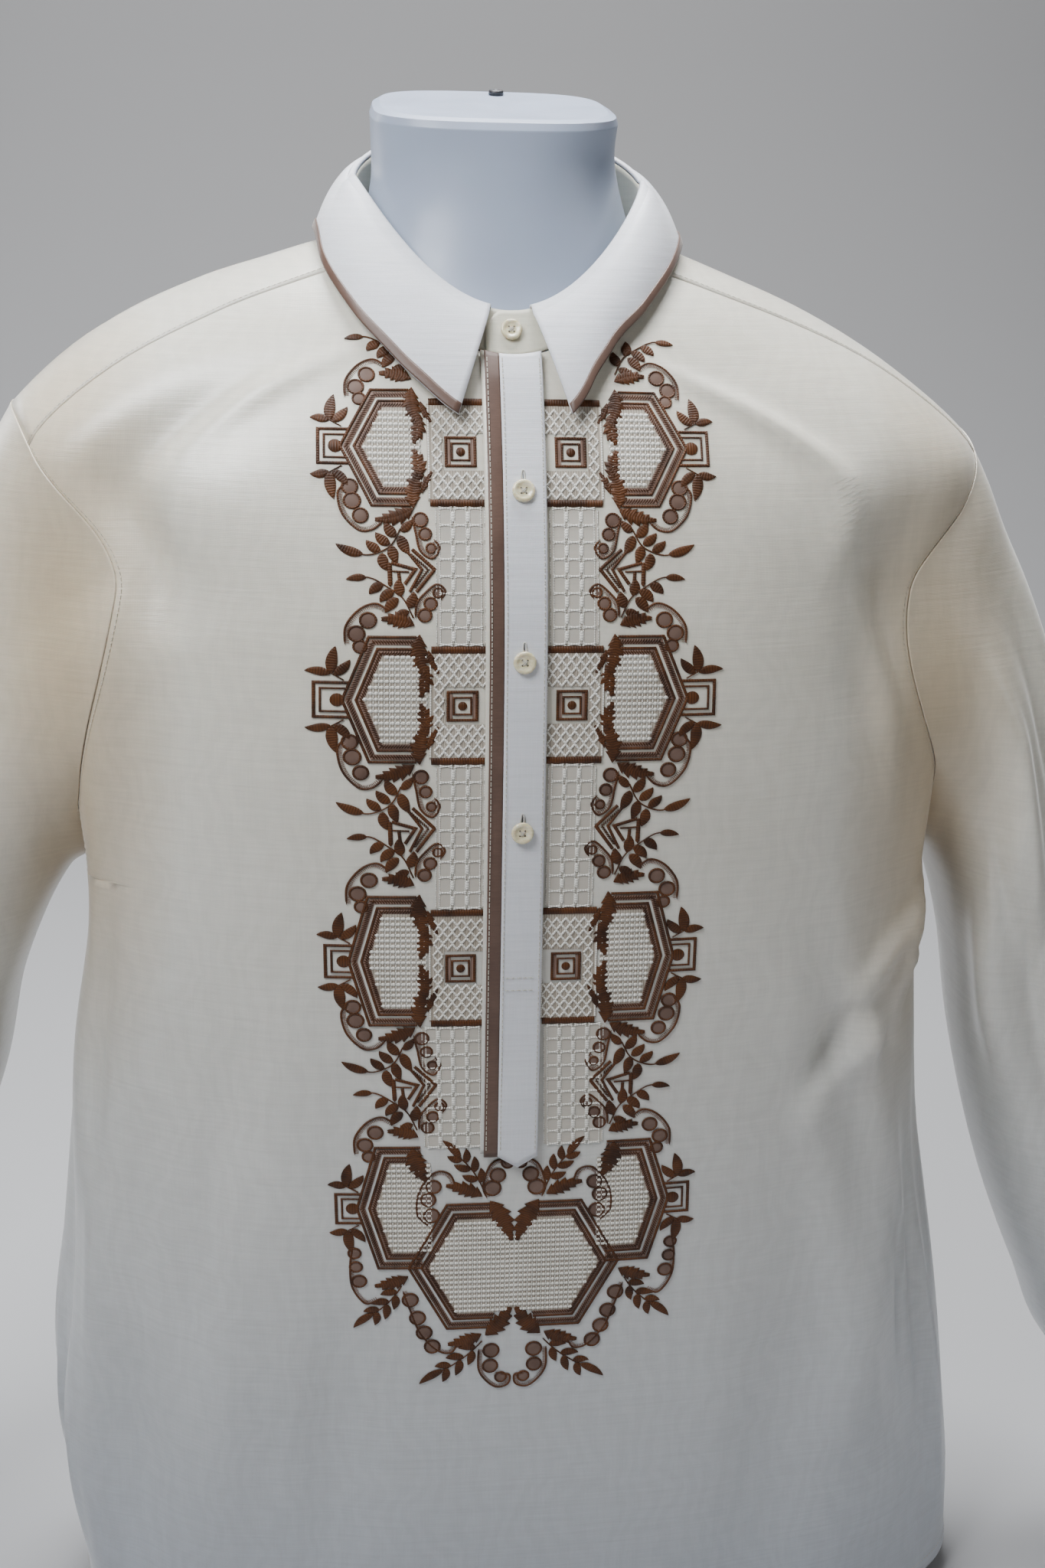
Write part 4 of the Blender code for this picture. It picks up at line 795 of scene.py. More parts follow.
# the open work's thinned ground and cells: partly their own colour, partly painted shade where the openings
# show the dim inside
OPEN_GROUND = threads("drawn_ground", (0.50, 0.44, 0.37), (0.41, 0.355, 0.29), 0.6)
CELL_GROUND = woven("sheer_cells", (0.57, 0.53, 0.465), (0.51, 0.47, 0.41), 0.05, 0.50, 0.2)
# painted shade: the dark brownish cones in a button's holes stand for the shadow inside them
HOLE_SHADE_LOOK = threads("button_hole_shade", (0.26, 0.22, 0.15), (0.22, 0.18, 0.12), 0.6)
PEARL_LOOK = pearl("pearl_button")
FORM_LOOK = plastic("form_white_plastic", (0.37, 0.425, 0.54), (0.33, 0.38, 0.49), 0.34)
# the real dark paint of the form's stud cap, and painted shade along the buttonholes' slits
DARK_PAINT_AND_SLIT_SHADE_LOOK = plastic("dark_metal_paint_and_slit_shade", (0.030, 0.030, 0.034), (0.02, 0.02, 0.023), 0.42)


# Pieces

def add_piece(name, vertices, faces, look, uv=None, smooth_shade=True):
    mesh = bpy.data.meshes.new(name)
    mesh.from_pydata(np.asarray(vertices, float).tolist(), [], faces)
    mesh.validate()
    if smooth_shade:
        mesh.shade_smooth()
    mesh.materials.append(look)
    if uv is not None:
        layer = mesh.uv_layers.new(name="along")
        corners = np.empty(len(mesh.loops), dtype=np.int32)
        mesh.loops.foreach_get("vertex_index", corners)
        layer.data.foreach_set("uv", np.asarray(uv, np.float32)[corners].ravel())
    piece = bpy.data.objects.new(name, mesh)
    bpy.context.scene.collection.objects.link(piece)
    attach(piece, "root")
    return piece


def wall(piece, thickness, offset=-1.0):
    modifier = piece.modifiers.new("wall", "SOLIDIFY")
    modifier.thickness = thickness
    modifier.offset = offset
    modifier.use_rim = True
    return piece


def grid_faces(rows, columns, start=0, closed=False):
    faces = []
    for r in range(rows - 1):
        for c in range(columns if closed else columns - 1):
            n = (c + 1) % columns
            a, b = start + r * columns, start + (r + 1) * columns
            faces.append((a + c, a + n, b + n, b + c))
    return faces


def sheet_piece(name, grid, look, thickness, node, flip=False, closed=False):
    grid = np.array(grid)
    faces = grid_faces(grid.shape[0], grid.shape[1], closed=closed)
    if flip:
        faces = [face[::-1] for face in faces]
    piece = wall(add_piece(name, grid.reshape(-1, 3), faces, look), thickness)
    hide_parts(node)
    return piece


def spread(*stops):
    """Values from each stop to the next: (value, steps to the next one), ..., (value,)."""
    values = [stops[0][0]]
    for (low, steps), following in zip(stops[:-1], stops[1:]):
        values.extend(np.linspace(low, following[0], steps + 1)[1:])
    return np.array(values)


THIN = 0.0007
DOUBLE = 0.0005         # a turned hem stands this much further out
BAND_GIRTH = 0.27       # metres of cloth to a radian of a, for the turned hems
PANEL_SINK = 0.0003     # a panel's outer face lies this much inside its solid's
HEM_STITCH_IN = 0.0025  # a hem's stitching lies this far from the band's inner edge
HEM_STITCH_OUT = 0.0004


def band_rise(from_edge, width, along):
    """The extra height of a turned, stitched hem: its own thickness and the stitching's puckers."""
    inside = smooth((width - from_edge) / 0.0015)
    pucker = 0.0006 * np.sin(along * 95.0) * np.sin(np.pi * np.clip(from_edge / width, 0, 1))
    groove = 0.0005 * np.exp(-(((from_edge - width + HEM_STITCH_IN) / 0.0010) ** 2))
    return inside * (DOUBLE + pucker) - groove


def make_front():
    slit_t = float(level_at(SLIT_END_Z))
    levels = spread((FRONT_HEM_T, 8), (FRONT_HEM_T + 0.02, 8), (0.0, 62), (slit_t, 26), (ARMPIT_T, 1))
    upper = armhole(1, np.linspace(180.0, float(armhole_q(SHOULDER_SEAM_T)), 44))[1][1:]
    seam = np.linspace(SHOULDER_SEAM_T, PANEL_TOP_T, 22)[1:]
    levels = np.concatenate([levels, upper, seam])
    share = spread((0.0, 46), (0.93, 6), (0.965, 6), (1.0,))
    columns = len(share)
    vertices = []
    for side in (-1, 1):
        for t in levels:
            edge = float(side_angle(side, t))
            start = abs(float(angle_at(SLIT_HALF * side, t)))
            angles = start + (edge - start) * share
            level = np.full(columns, t)
            out = np.zeros(columns)
            if t < VENT_T[side]:
                from_edge = np.radians(edge - angles) * BAND_GIRTH
                fade = float(smooth((VENT_T[side] - t) / 0.01))
                out += band_rise(from_edge, VENT_BAND, np.full(columns, t * FOLD_RISE)) * fade
            from_hem = (t - FRONT_HEM_T) * FOLD_RISE
            out += band_rise(np.full(columns, from_hem), HEM_BAND, np.radians(angles) * BAND_GIRTH)
            vertices.extend(cloth_body(side * angles, level, out - PANEL_SINK))
    rows = len(levels)
    half = rows * columns
    faces = [face[::-1] for face in grid_faces(rows, columns)] + grid_faces(rows, columns, half)
    closed = int(np.argmin(abs(levels - slit_t)))
    for r in range(closed):
        left, right = r * columns, half + r * columns
        faces.append((left, right, right + columns, left + columns))
    piece = wall(add_piece("shirt_front", vertices, faces, CLOTH_LOOK), THIN)
    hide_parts("front")


def make_back():
    levels = spread((0.0, 8), (0.018, 90), (ARMPIT_T, 1))
    upper = armhole(1, np.linspace(180.0, float(armhole_q(YOKE_BACK_T)), 40))[1][1:]
    levels = np.concatenate([levels, upper])
    levels[-1] -= 0.0006
    share = spread((-1.0, 6), (-0.965, 6), (-0.93, 84), (0.93, 6), (0.965, 6), (1.0,))
    columns = len(share)
    grid = []
    for t in levels:
        edge = float(back_angle(t))
        angles = 180.0 + (180.0 - edge) * share
        out = band_rise(np.full(columns, t * FOLD_RISE), HEM_BAND, np.radians(angles) * BAND_GIRTH)
        vent = np.where(share < 0, VENT_T[1], VENT_T[-1])
        from_edge = np.radians((180.0 - edge) * (1 - np.abs(share))) * BAND_GIRTH
        out += band_rise(from_edge, VENT_BAND, np.full(columns, t * FOLD_RISE)) * smooth((vent - t) / 0.01)
        grid.append(cloth_body(angles, np.full(columns, t), out - PANEL_SINK))
    piece = sheet_piece("shirt_back", grid, CLOTH_LOOK, THIN, "back")


YOKE_ARMHOLE_COLUMNS = 22
YOKE_BACK_COLUMNS = 36


def yoke_rims(side):
    q = np.linspace(float(armhole_q(SHOULDER_SEAM_T)), -float(armhole_q(YOKE_BACK_T)), YOKE_ARMHOLE_COLUMNS)
    outer_a, outer_t = armhole(side, q)
    across = np.linspace(outer_a[-1], 180.0, YOKE_BACK_COLUMNS + 1)[1:]
    outer_a = np.concatenate([outer_a, across])
    outer_t = np.concatenate([outer_t, np.full(YOKE_BACK_COLUMNS, YOKE_BACK_T)])
    inner_a = SEAM_NECK + (180.0 - SEAM_NECK) * np.linspace(0, 1, len(outer_a))
    return outer_a, outer_t, inner_a


def make_yoke():
    grid = []
    for s in np.linspace(0.0, 1.0, 26):
        halves = []
        for side in (1, -1):
            outer_a, outer_t, inner_a = yoke_rims(side)
            angles = outer_a + (inner_a - outer_a) * s
            levels = outer_t + (PANEL_TOP_T - outer_t) * s
            halves.append((angles, levels))
        (right_a, right_t), (left_a, left_t) = halves
        angles = np.concatenate([right_a, 360.0 - left_a[-2::-1]])
        levels = np.concatenate([right_t, left_t[-2::-1]])
        grid.append(cloth_body(angles, levels))
    piece = sheet_piece("shirt_yoke", grid, CLOTH_LOOK, THIN, "yoke")


def make_sleeve(name, side):
    around = np.linspace(-180.0, 180.0, 181)[:-1]
    grid = []
    for w in spread((0.0, 1), (0.0015, 1), (0.004, 1), (0.01, 5), (0.06, 117), (1.0,)):
        groove = 0.0002 * np.exp(-((w * SLEEVE_LENGTH / 0.0012) ** 2))
        grid.append(cloth_sleeve(side, around, np.full(len(around), w), -0.0003 - groove))
    piece = sheet_piece(f"shirt_{name}", grid, CLOTH_LOOK, THIN, name, flip=side < 0, closed=True)


CUFF_ROWS = (   # the share of the cuff's height, and 1 where its edge turns in
    (0.02, 1), (0.045, 0), (0.10, 0), (0.35, 0), (0.70, 0), (0.95, 0), (1.02, 0), (1.04, 1),
)


def make_cuff(name, side):
    turns = np.linspace(0.0, 360.0 + CUFF_OVERLAP, 100)
    q = CUFF_LAP_AT - turns
    out = (COLLAR_CLOTH + 3 * LAY_GAP) * smooth((turns - 330.0) / 30.0)
    grid = [cuff_point(side, q, s, out - 0.0004 * edge)
            for s, edge in CUFF_ROWS]
    piece = sheet_piece(f"shirt_{name}", grid, COLLAR_LOOK, 0.0012, name, flip=side < 0)
    at = np.array([CUFF_LAP_AT - 360.0 - CUFF_OVERLAP * 0.5])
    lap = np.full(1, out[-1])
    centre, below = cuff_point(side, at, 0.5, lap)[0], cuff_point(side, at, 0.6, lap)[0]
    beside = cuff_point(side, at + 4.0, 0.5, lap)[0]
    facing = np.cross(beside - centre, below - centre) * side
    make_button(f"button_{name}", centre, facing / np.linalg.norm(facing), BUTTON_RADIUS, CUFF_BUTTON_LIFT)
    rows = [cuff_point(side, q[4:-2], s, out[4:-2]) for s in (0.07, 0.99)]
    stitch_rows(f"stitching_{name}", rows, SEWING_THREAD, centre_of=centre)


BUTTON_PROFILE = (   # radius and height as shares of the button's own, from the middle outwards
    (0.00, 0.66), (0.18, 0.66), (0.40, 0.68), (0.56, 0.74), (0.66, 0.92), (0.76, 1.00), (0.88, 0.97),
    (0.96, 0.80), (1.00, 0.50), (0.97, 0.22), (0.88, 0.04), (0.60, 0.00), (0.00, 0.00),
)
HOLE_AT = 0.0013
HOLE_RADIUS = 0.00052


def turned(profile, sides=48):
    """A solid of revolution about z; its first and last point lie on the axis."""
    turn = np.linspace(0, 2 * np.pi, sides, endpoint=False)
    vertices = [(0.0, 0.0, profile[0][1])]
    for radius, height in profile[1:-1]:
        vertices += [(radius * np.cos(a), radius * np.sin(a), height) for a in turn]
    vertices.append((0.0, 0.0, profile[-1][1]))
    faces = [(0, 1 + c, 1 + (c + 1) % sides) for c in range(sides)]
    rings = len(profile) - 2
    for r in range(rings - 1):
        a, b = 1 + r * sides, 1 + (r + 1) * sides
        faces += [(a + c, b + c, b + (c + 1) % sides, a + (c + 1) % sides) for c in range(sides)]
    last, a = len(vertices) - 1, 1 + (rings - 1) * sides
    faces += [(last, a + (c + 1) % sides, a + c) for c in range(sides)]
    return np.array(vertices), faces


def facing_frame(facing):
    """Axes with z along facing and y as near upright as it goes."""
    z = np.asarray(facing, float)
    x = np.cross([0.0, 0.0, 1.0], z)
    x = x / np.linalg.norm(x)
    return np.stack([x, np.cross(z, x), z])


def make_button(node, place, facing, radius, lift=LAY_GAP):
    """A dished button with four holes and a cross of thread, on its CAD node's place."""
    axes = facing_frame(facing)
    base = np.asarray(place) + axes[2] * lift
    shape, faces = turned([(r * radius, h * BUTTON_THICKNESS) for r, h in BUTTON_PROFILE])
    piece = add_piece(f"shirt_{node}", base + shape @ axes, faces, PEARL_LOOK)
    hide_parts(node)
    dish = BUTTON_THICKNESS * 0.67
    holes, hole_faces, sewn, sewn_faces = [], [], [], []
    for x in (-HOLE_AT, HOLE_AT):
        for y in (-HOLE_AT, HOLE_AT):
            profile = [(0.0, dish + 0.00006), (HOLE_RADIUS, dish + 0.00005), (0.0, dish - 0.0003)]
            shape, faces = turned(profile, 12)
            hole_faces += [tuple(i + sum(map(len, holes)) for i in face) for face in faces]
            holes.append(shape + np.array([x, y, 0.0]))
    # painted shade: dark cones in the four holes
    add_piece(f"{node}_holes", base + np.concatenate(holes) @ axes, hole_faces, HOLE_SHADE_LOOK,
              uv=np.zeros((sum(map(len, holes)), 2)))
    for slope in (-1, 1):
        for shift in (-0.00022, 0.00022):
            steps = np.linspace(-1, 1, 9)
            path = np.stack([steps * HOLE_AT + shift, steps * HOLE_AT * slope - shift * slope,
                             dish + 0.0001 + 0.00035 * (1 - steps ** 2) + 0.0001 * slope], 1)
            tube, faces = tube_of(path, 0.00016, 6)
            sewn_faces += [tuple(i + sum(map(len, sewn)) for i in face) for face in faces]
            sewn.append(tube)
    add_piece(f"{node}_thread", base + np.concatenate(sewn) @ axes, sewn_faces, WHITE_THREAD,
              uv=np.zeros((sum(map(len, sewn)), 2)))


def tube_of(path, radius, sides=6):
    """A closed tube along a path of points, tapered at its two ends."""
    along = np.gradient(path, axis=0)
    along = along / np.linalg.norm(along, axis=1, keepdims=True)
    across = np.cross(along, [0.0, 0.0, 1.0])
    short = np.linalg.norm(across, axis=1, keepdims=True)
    across = np.where(short < 0.01, np.array([1.0, 0.0, 0.0]), across / np.maximum(short, 1e-9))
    above = np.cross(across, along)
    turn = np.linspace(0, 2 * np.pi, sides, endpoint=False)
    size = np.full(len(path), radius)
    size[0] = size[-1] = radius * 0.25
    rings = path[:, None] + size[:, None, None] * (across[:, None] * np.cos(turn)[None, :, None]
                                                   + above[:, None] * np.sin(turn)[None, :, None])
    faces = grid_faces(len(path), sides, closed=True)
    last = (len(path) - 1) * sides
    faces += [tuple(range(sides))[::-1], tuple(last + c for c in range(sides))]
    return rings.reshape(-1, 3), faces


STITCH_LENGTH = 0.0023
STITCH_STEP = 0.0031


def stitch_rows(name, rows, look, centre_of=None, rise=0.0002, half=0.00022):
    """Running stitches along each row of points: short flat domes that stand a little proud."""
    vertices, faces, uv = [], [], []
    for row in rows:
        row = np.asarray(row)
        length = np.concatenate([[0.0], np.cumsum(np.linalg.norm(np.diff(row, axis=0), axis=1))])
        starts = np.arange(0.001, length[-1] - STITCH_LENGTH, STITCH_STEP)
        at = starts[:, None] + STITCH_LENGTH * np.array([0.0, 0.25, 0.75, 1.0])
        points = np.stack([np.interp(at, length, row[:, k]) for k in range(3)], -1)
        along = points[:, -1:] - points[:, :1]
        along = along / np.maximum(np.linalg.norm(along, axis=-1, keepdims=True), 1e-9)
        if centre_of is None:
            outward = points * np.array([1.0, 1.0, 0.0]) + np.array([0.0, 0.0, 0.02])
        else:
            outward = points - np.asarray(centre_of)
        outward = outward - (outward * along).sum(-1, keepdims=True) * along
        outward = outward / np.maximum(np.linalg.norm(outward, axis=-1, keepdims=True), 1e-9)
        across = np.cross(along, outward)
        for points_one, outward_one, across_one in zip(points, outward, across):
            first = len(vertices)
            for k, high in ((0, 0.2), (1, 1.0), (2, 1.0), (3, 0.2)):
                for c, level in ((-1, 0.0), (0, high), (1, 0.0)):
                    lifted = outward_one[k] * (level * rise + 0.00005)
                    vertices.append(points_one[k] + across_one[k] * c * half + lifted)
                    uv.append((k * 0.0008, c))
            faces += grid_faces(4, 3, first)
    add_piece(name, vertices, faces, look, uv)


def make_seam_stitches():
    """Topstitching beside the yoke, armhole and side-vent seams."""
    rows = []
    fine = np.linspace(0.0, 1.0, 160)
    for side in (-1, 1):
        t = SHOULDER_SEAM_T + (PANEL_TOP_T - SHOULDER_SEAM_T) * fine
        angles = side_angle(side, t)
        rows.append(cloth_body(side * (angles + gap_angle(t, 0.0030)), t, 0.0001))
        q = np.linspace(float(armhole_q(SHOULDER_SEAM_T)), 176.0, 240)
        a, level = armhole(side, q)
        rows.append(cloth_body(side * (a - gap_angle(level, 0.0035)), level, 0.0001))
        q = np.linspace(-float(armhole_q(YOKE_BACK_T)), -176.0, 240)
        a, level = armhole(side, q)
        rows.append(cloth_body(side * (a + gap_angle(level, 0.0035)), level, 0.0001))
        t = np.linspace(-0.02, VENT_T[side] + 0.01, 300)
        inset = np.degrees((VENT_BAND - HEM_STITCH_IN) / BAND_GIRTH)
        rows.append(cloth_body(side * (90.0 - inset), t, HEM_STITCH_OUT))
        rows.append(cloth_body(side * (90.0 + inset), np.maximum(t, 0.0), HEM_STITCH_OUT))
    across = np.linspace(-86.0, 86.0, 700)
    above_hem = (HEM_BAND - HEM_STITCH_IN) / FOLD_RISE
    rows.append(cloth_body(across, np.full(700, FRONT_HEM_T + above_hem), HEM_STITCH_OUT))
    rows.append(cloth_body(180.0 + across, np.full(700, above_hem), HEM_STITCH_OUT))
    across = np.linspace(-146.0, 146.0, 500)
    rows.append(cloth_body(180.0 + across * 0.5, np.full(500, YOKE_BACK_T - 0.004), 0.0001))
    stitch_rows("seam_stitching", rows, SEWING_THREAD)


def strip_on_front(x_edges, t_rows, out, tip=0.0):
    grid = []
    middle = (x_edges[0] + x_edges[-1]) / 2
    half = (x_edges[-1] - x_edges[0]) / 2
    for i, t in enumerate(t_rows):
        level = np.full(len(x_edges), t)
        if tip:
            fade = max(0.0, 1.0 - i / 6.0)
            level = level - tip * fade * (1 - abs((x_edges - middle) / half)) / FOLD_RISE
        grid.append(body_point(angle_at(x_edges, level), level, out))
    return np.array(grid)


PLACKET_REACH_T = 0.9975     # the placket runs up to the collar stand, a little past its solids
PLACKET_WALL = 0.0009


def make_placket():
    low = float(level_at(PLACKET_TIP_Z + PLACKET_POINT))
    rows = np.linspace(low, PLACKET_REACH_T, 130)
    wander = 0.00045 * np.sin(np.arange(130) * 0.21) + 0.0003 * np.sin(np.arange(130) * 0.083 + 1.0)
    under = np.linspace(-UNDERLAP_HALF, PLACKET_HALF, 14)
    stripe = np.linspace(-PLACKET_HALF, -PLACKET_HALF + STRIPE_WIDTH, 9)
    white = np.linspace(-PLACKET_HALF + STRIPE_WIDTH, PLACKET_HALF, 19)
    piece = sheet_piece("shirt_placket_underlap", strip_on_front(under, rows + 0.0015, UNDERLAP_OUT - 0.0001),
                        CLOTH_LOOK, 0.0008, "placket_underlap")

    def soft(edges, out, tip=0.0):
        grid = strip_on_front(edges, rows, out, tip)
        u = (edges - edges[0]) / (edges[-1] - edges[0])
        crown = 0.0003 * np.sin(np.pi * u)
        normal = body_normal(np.zeros(1), np.array([0.7]))[0]
        return grid + (wander[:, None] + crown[None, :])[..., None] * 0.6 * normal - 0.0001 * normal

    grid = soft(stripe, PLACKET_OUT)
    piece = sheet_piece("shirt_placket_stripe", grid, SATIN_LOOK, PLACKET_WALL, "placket_stripe")
    grid = soft(white, PLACKET_OUT, PLACKET_POINT)
    piece = sheet_piece("shirt_placket", grid, COLLAR_LOOK, PLACKET_WALL, "placket")
    stitched = []
    fine = np.linspace(low + 0.004, PLACKET_REACH_T - 0.003, 500)
    for x in (-PLACKET_HALF + STRIPE_WIDTH + 0.0014, PLACKET_HALF - 0.0014, -PLACKET_HALF + 0.0012):
        stitched.append(body_point(angle_at(np.full(500, x), fine), fine, PLACKET_OUT + 0.0003))
    for z in (0.461, 0.454):
        t = np.full(40, float(level_at(z)))
        x = np.linspace(-PLACKET_HALF + STRIPE_WIDTH + 0.0014, PLACKET_HALF - 0.0014, 40)
        stitched.append(body_point(angle_at(x, t), t, PLACKET_OUT + 0.0003))
    stitch_rows("placket_stitching", stitched, SEWING_THREAD)


HOLE_HALF_WIDTH, HOLE_HALF_LENGTH = 0.0009, 0.0065
HOLE_RISE = 0.0035      # a buttonhole's middle lies this far above its button's


def make_buttons():
    for name, z in BUTTON_Z.items():
        t = level_at(z)
        a = angle_at(BUTTON_X, t)
        make_button(name, body_point(a, t, PLACKET_OUT), body_normal(a, t), BUTTON_RADIUS)
        turn = np.linspace(0, 2 * np.pi, 40, endpoint=False)
        x = BUTTON_X + HOLE_HALF_WIDTH * np.sin(turn)
        s = HOLE_HALF_LENGTH * np.sign(np.cos(turn)) * np.abs(np.cos(turn)) ** 0.5
        level = level_at(z + HOLE_RISE + s)
        path = body_point(angle_at(x, level), level, PLACKET_OUT + 0.0003)
        path = np.concatenate([path, path[:1]])
        tube, faces = tube_of(path, 0.0004, 6)
        add_piece(f"{name}_buttonhole", tube, faces, WHITE_THREAD, uv=np.zeros((len(tube), 2)))
        # painted shade: a thin dark tube along the slit stands for the shadow in the cut
        slot_s = np.linspace(-0.0055, 0.0055, 8)
        level = level_at(z + HOLE_RISE + slot_s)
        path = body_point(angle_at(np.full(8, BUTTON_X), level), level, PLACKET_OUT + 0.0001)
        tube, faces = tube_of(path, 0.00022, 6)
        add_piece(f"{name}_slit", tube, faces, DARK_PAINT_AND_SLIT_SHADE_LOOK)
    low, high = stand_point(np.zeros(2), np.array([0.40, 0.72]), stand_out(np.zeros(2)))
    facing = np.cross(np.array([1.0, 0.0, 0.0]), (high - low) / np.linalg.norm(high - low))
    make_button("button_collar", (low + high) / 2, facing, STAND_BUTTON_RADIUS)


def make_collar():
    angles = np.linspace(-STAND_OVERLAP, 360 + STAND_OVERLAP, 220)
    to_end = np.minimum(angles + STAND_OVERLAP, 360 + STAND_OVERLAP - angles)
    round_off = 1 - 0.45 * (1 - np.clip(to_end / 7.0, 0, 1)) ** 2
    grid = [stand_point(angles, s * round_off, stand_out(angles) - 0.0001) for s in np.linspace(0.0, 1.0, 12)]
    piece = sheet_piece("shirt_collar_stand", grid, STAND_LOOK, 0.0012, "collar_stand")
    v = np.linspace(-1.0, 1.0, 241)
    length = np.linalg.norm(fall_point(v, np.ones(len(v))) - fall_point(v, np.zeros(len(v))), axis=1)
    trim_start = 1 - TRIM_WIDTH / length
    rows = [row * trim_start / 0.86 for row in spread((0.0, 8), (0.14, 16), (0.86, 1))]
    grid = [fall_point(v, s) for s in rows + [trim_start + (1 - trim_start) * k for k in (0.5, 1.0)]]
    round_neck = FALL_START + (180.0 - FALL_START) * (1 - np.abs(v))
    round_neck = np.where(v < 0, 360.0 - round_neck, round_neck)
    top = stand_point(round_neck, np.ones(len(v)), stand_out(round_neck))
    over = (top + grid[2]) / 2
    over[:, 2] = np.maximum(top[:, 2], grid[1][:, 2]) + 0.0009
    grid = [top, (top + over) / 2 + np.array([0.0, 0.0, 0.0004]), over] + grid[3:]
    piece = sheet_piece("shirt_collar_fall", grid, COLLAR_LOOK, 0.0012, "collar_fall", flip=True)
    crown = (0.0, 0.5, 0.8, 0.8, 0.5, 0.0)
    trim = [fall_point(v, trim_start + (1 - trim_start) * k / 5, LAY_GAP + TRIM_CLOTH + 0.0003 * crown[k])
            for k in range(6)]
    piece = sheet_piece("shirt_collar_trim", trim, SATIN_LOOK, 0.0007, "collar_trim", flip=True)
    fine = np.linspace(-0.995, 0.995, 1500)
    start = np.interp(fine, v, trim_start)
    edge = [fall_point(fine, start - 0.010, 0.0002), fall_point(fine, start + (1 - start) * 0.16, 0.0016)]
    stitch_rows("collar_stitching", edge, SEWING_THREAD, centre_of=(0.0, 0.0, 0.84))


# The embroidery. Its pattern space is flat cloth in millimetres: x from the placket's centre line outwards
# and s up the cloth. Each motif is drawn once, and mirrored on the other half.

S_FROM = 0.640


def pattern_table():
    """For a lattice of x and s, the level t at which the cloth reaches them."""
    xs = np.linspace(-0.13, 0.13, 53)
    ts = np.linspace(0.05, 0.993, 900)
    grid_x, grid_t = np.meshgrid(xs, ts)
    points = plain_body(angle_at(grid_x, grid_t), grid_t)
    run = np.linalg.norm(np.diff(points, axis=0), axis=-1)
    s = np.concatenate([np.zeros((1, len(xs))), np.cumsum(run, 0)])
    s += S_FROM - s[np.argmin(abs(ts - float(level_at(S_FROM))))]
    s_axis = np.linspace(0.17, 0.86, 346)
    t_of = np.stack([np.interp(s_axis, s[:, k], ts) for k in range(len(xs))], 1)
    return xs, s_axis, t_of


PATTERN_X, PATTERN_S, PATTERN_T = pattern_table()


def pattern_point(x, s, out):
    """The place of pattern points (metres) on the shirt's front."""
    fx = np.clip((x - PATTERN_X[0]) / (PATTERN_X[1] - PATTERN_X[0]), 0, len(PATTERN_X) - 1.001)
    fs = np.clip((s - PATTERN_S[0]) / (PATTERN_S[1] - PATTERN_S[0]), 0, len(PATTERN_S) - 1.001)
    i, j = fs.astype(int), fx.astype(int)
    u, v = fs - i, fx - j
    t = ((PATTERN_T[i, j] * (1 - u) + PATTERN_T[i + 1, j] * u) * (1 - v)
         + (PATTERN_T[i, j + 1] * (1 - u) + PATTERN_T[i + 1, j + 1] * u) * v)
    return cloth_body(angle_at(x, t), t, out)


class Needlework:
    """Collects stitched shapes in pattern millimetres: x, s and the height above the cloth."""

    def __init__(self):
        self.points, self.faces, self.uv, self.count = [], [], [], 0

    def add(self, points, faces, uv):
        self.points.append(np.asarray(points, float))
        self.uv.append(np.asarray(uv, float))
        self.faces += [tuple(i + self.count for i in face) for face in faces]
        self.count += len(points)

    def make(self, name, look):
        points = np.concatenate(self.points)
        uv = np.concatenate(self.uv)
        both, faces, uvs = [], [], []
        for side in (1, -1):
            s = points[:, 1] / 1000
            shift = 0.0035 * smooth((0.48 - s) / 0.20)
            both.append(pattern_point(side * points[:, 0] / 1000 + shift, s, points[:, 2] / 1000))
            start = 0 if side > 0 else len(points)
            faces += [tuple(i + start for i in (face if side > 0 else face[::-1])) for face in self.faces]
            uvs.append(uv)
        return add_piece(name, np.concatenate(both), faces, look, np.concatenate(uvs))


def dense(path, step=1.2):
    """A polyline with more points and, at each, its mitred sideways direction."""
    path = np.asarray(path, float)
    runs = np.linalg.norm(np.diff(path, axis=0), axis=1)
    points = [path[0]]
    for a, b, run in zip(path[:-1], path[1:], runs):
        count = max(1, int(np.ceil(run / step)))
        points += [a + (b - a) * k / count for k in range(1, count + 1)]
    points = np.array(points)
    heading = np.diff(points, axis=0)
    heading = heading / np.maximum(np.linalg.norm(heading, axis=1, keepdims=True), 1e-9)
    before = np.vstack([heading[:1], heading])
    after = np.vstack([heading, heading[-1:]])
    mean = before + after
    mean = mean / np.maximum(np.linalg.norm(mean, axis=1, keepdims=True), 1e-9)
    stretch = 1 / np.maximum((mean * after).sum(1), 0.55)
    side = np.stack([-mean[:, 1], mean[:, 0]], 1) * stretch[:, None]
    return points, side


def curve(points, step=1.0):
    """A smooth curve through a few points."""
    p = np.asarray(points, float)
    p = np.vstack([2 * p[0] - p[1], p, 2 * p[-1] - p[-2]])
    out = []
    for i in range(1, len(p) - 2):
        count = max(2, int(np.linalg.norm(p[i + 1] - p[i]) / step))
        for k in range(count):
            u = k / count
            out.append(0.5 * (2 * p[i] + (p[i + 1] - p[i - 1]) * u
                              + (2 * p[i - 1] - 5 * p[i] + 4 * p[i + 1] - p[i + 2]) * u * u
                              + (3 * p[i] - p[i - 1] - 3 * p[i + 1] + p[i + 2]) * u ** 3))
    out.append(p[-2])
    return np.array(out)


CROWN = ((-1.0, 0.0), (-0.62, 0.80), (0.0, 1.0), (0.62, 0.80), (1.0, 0.0))


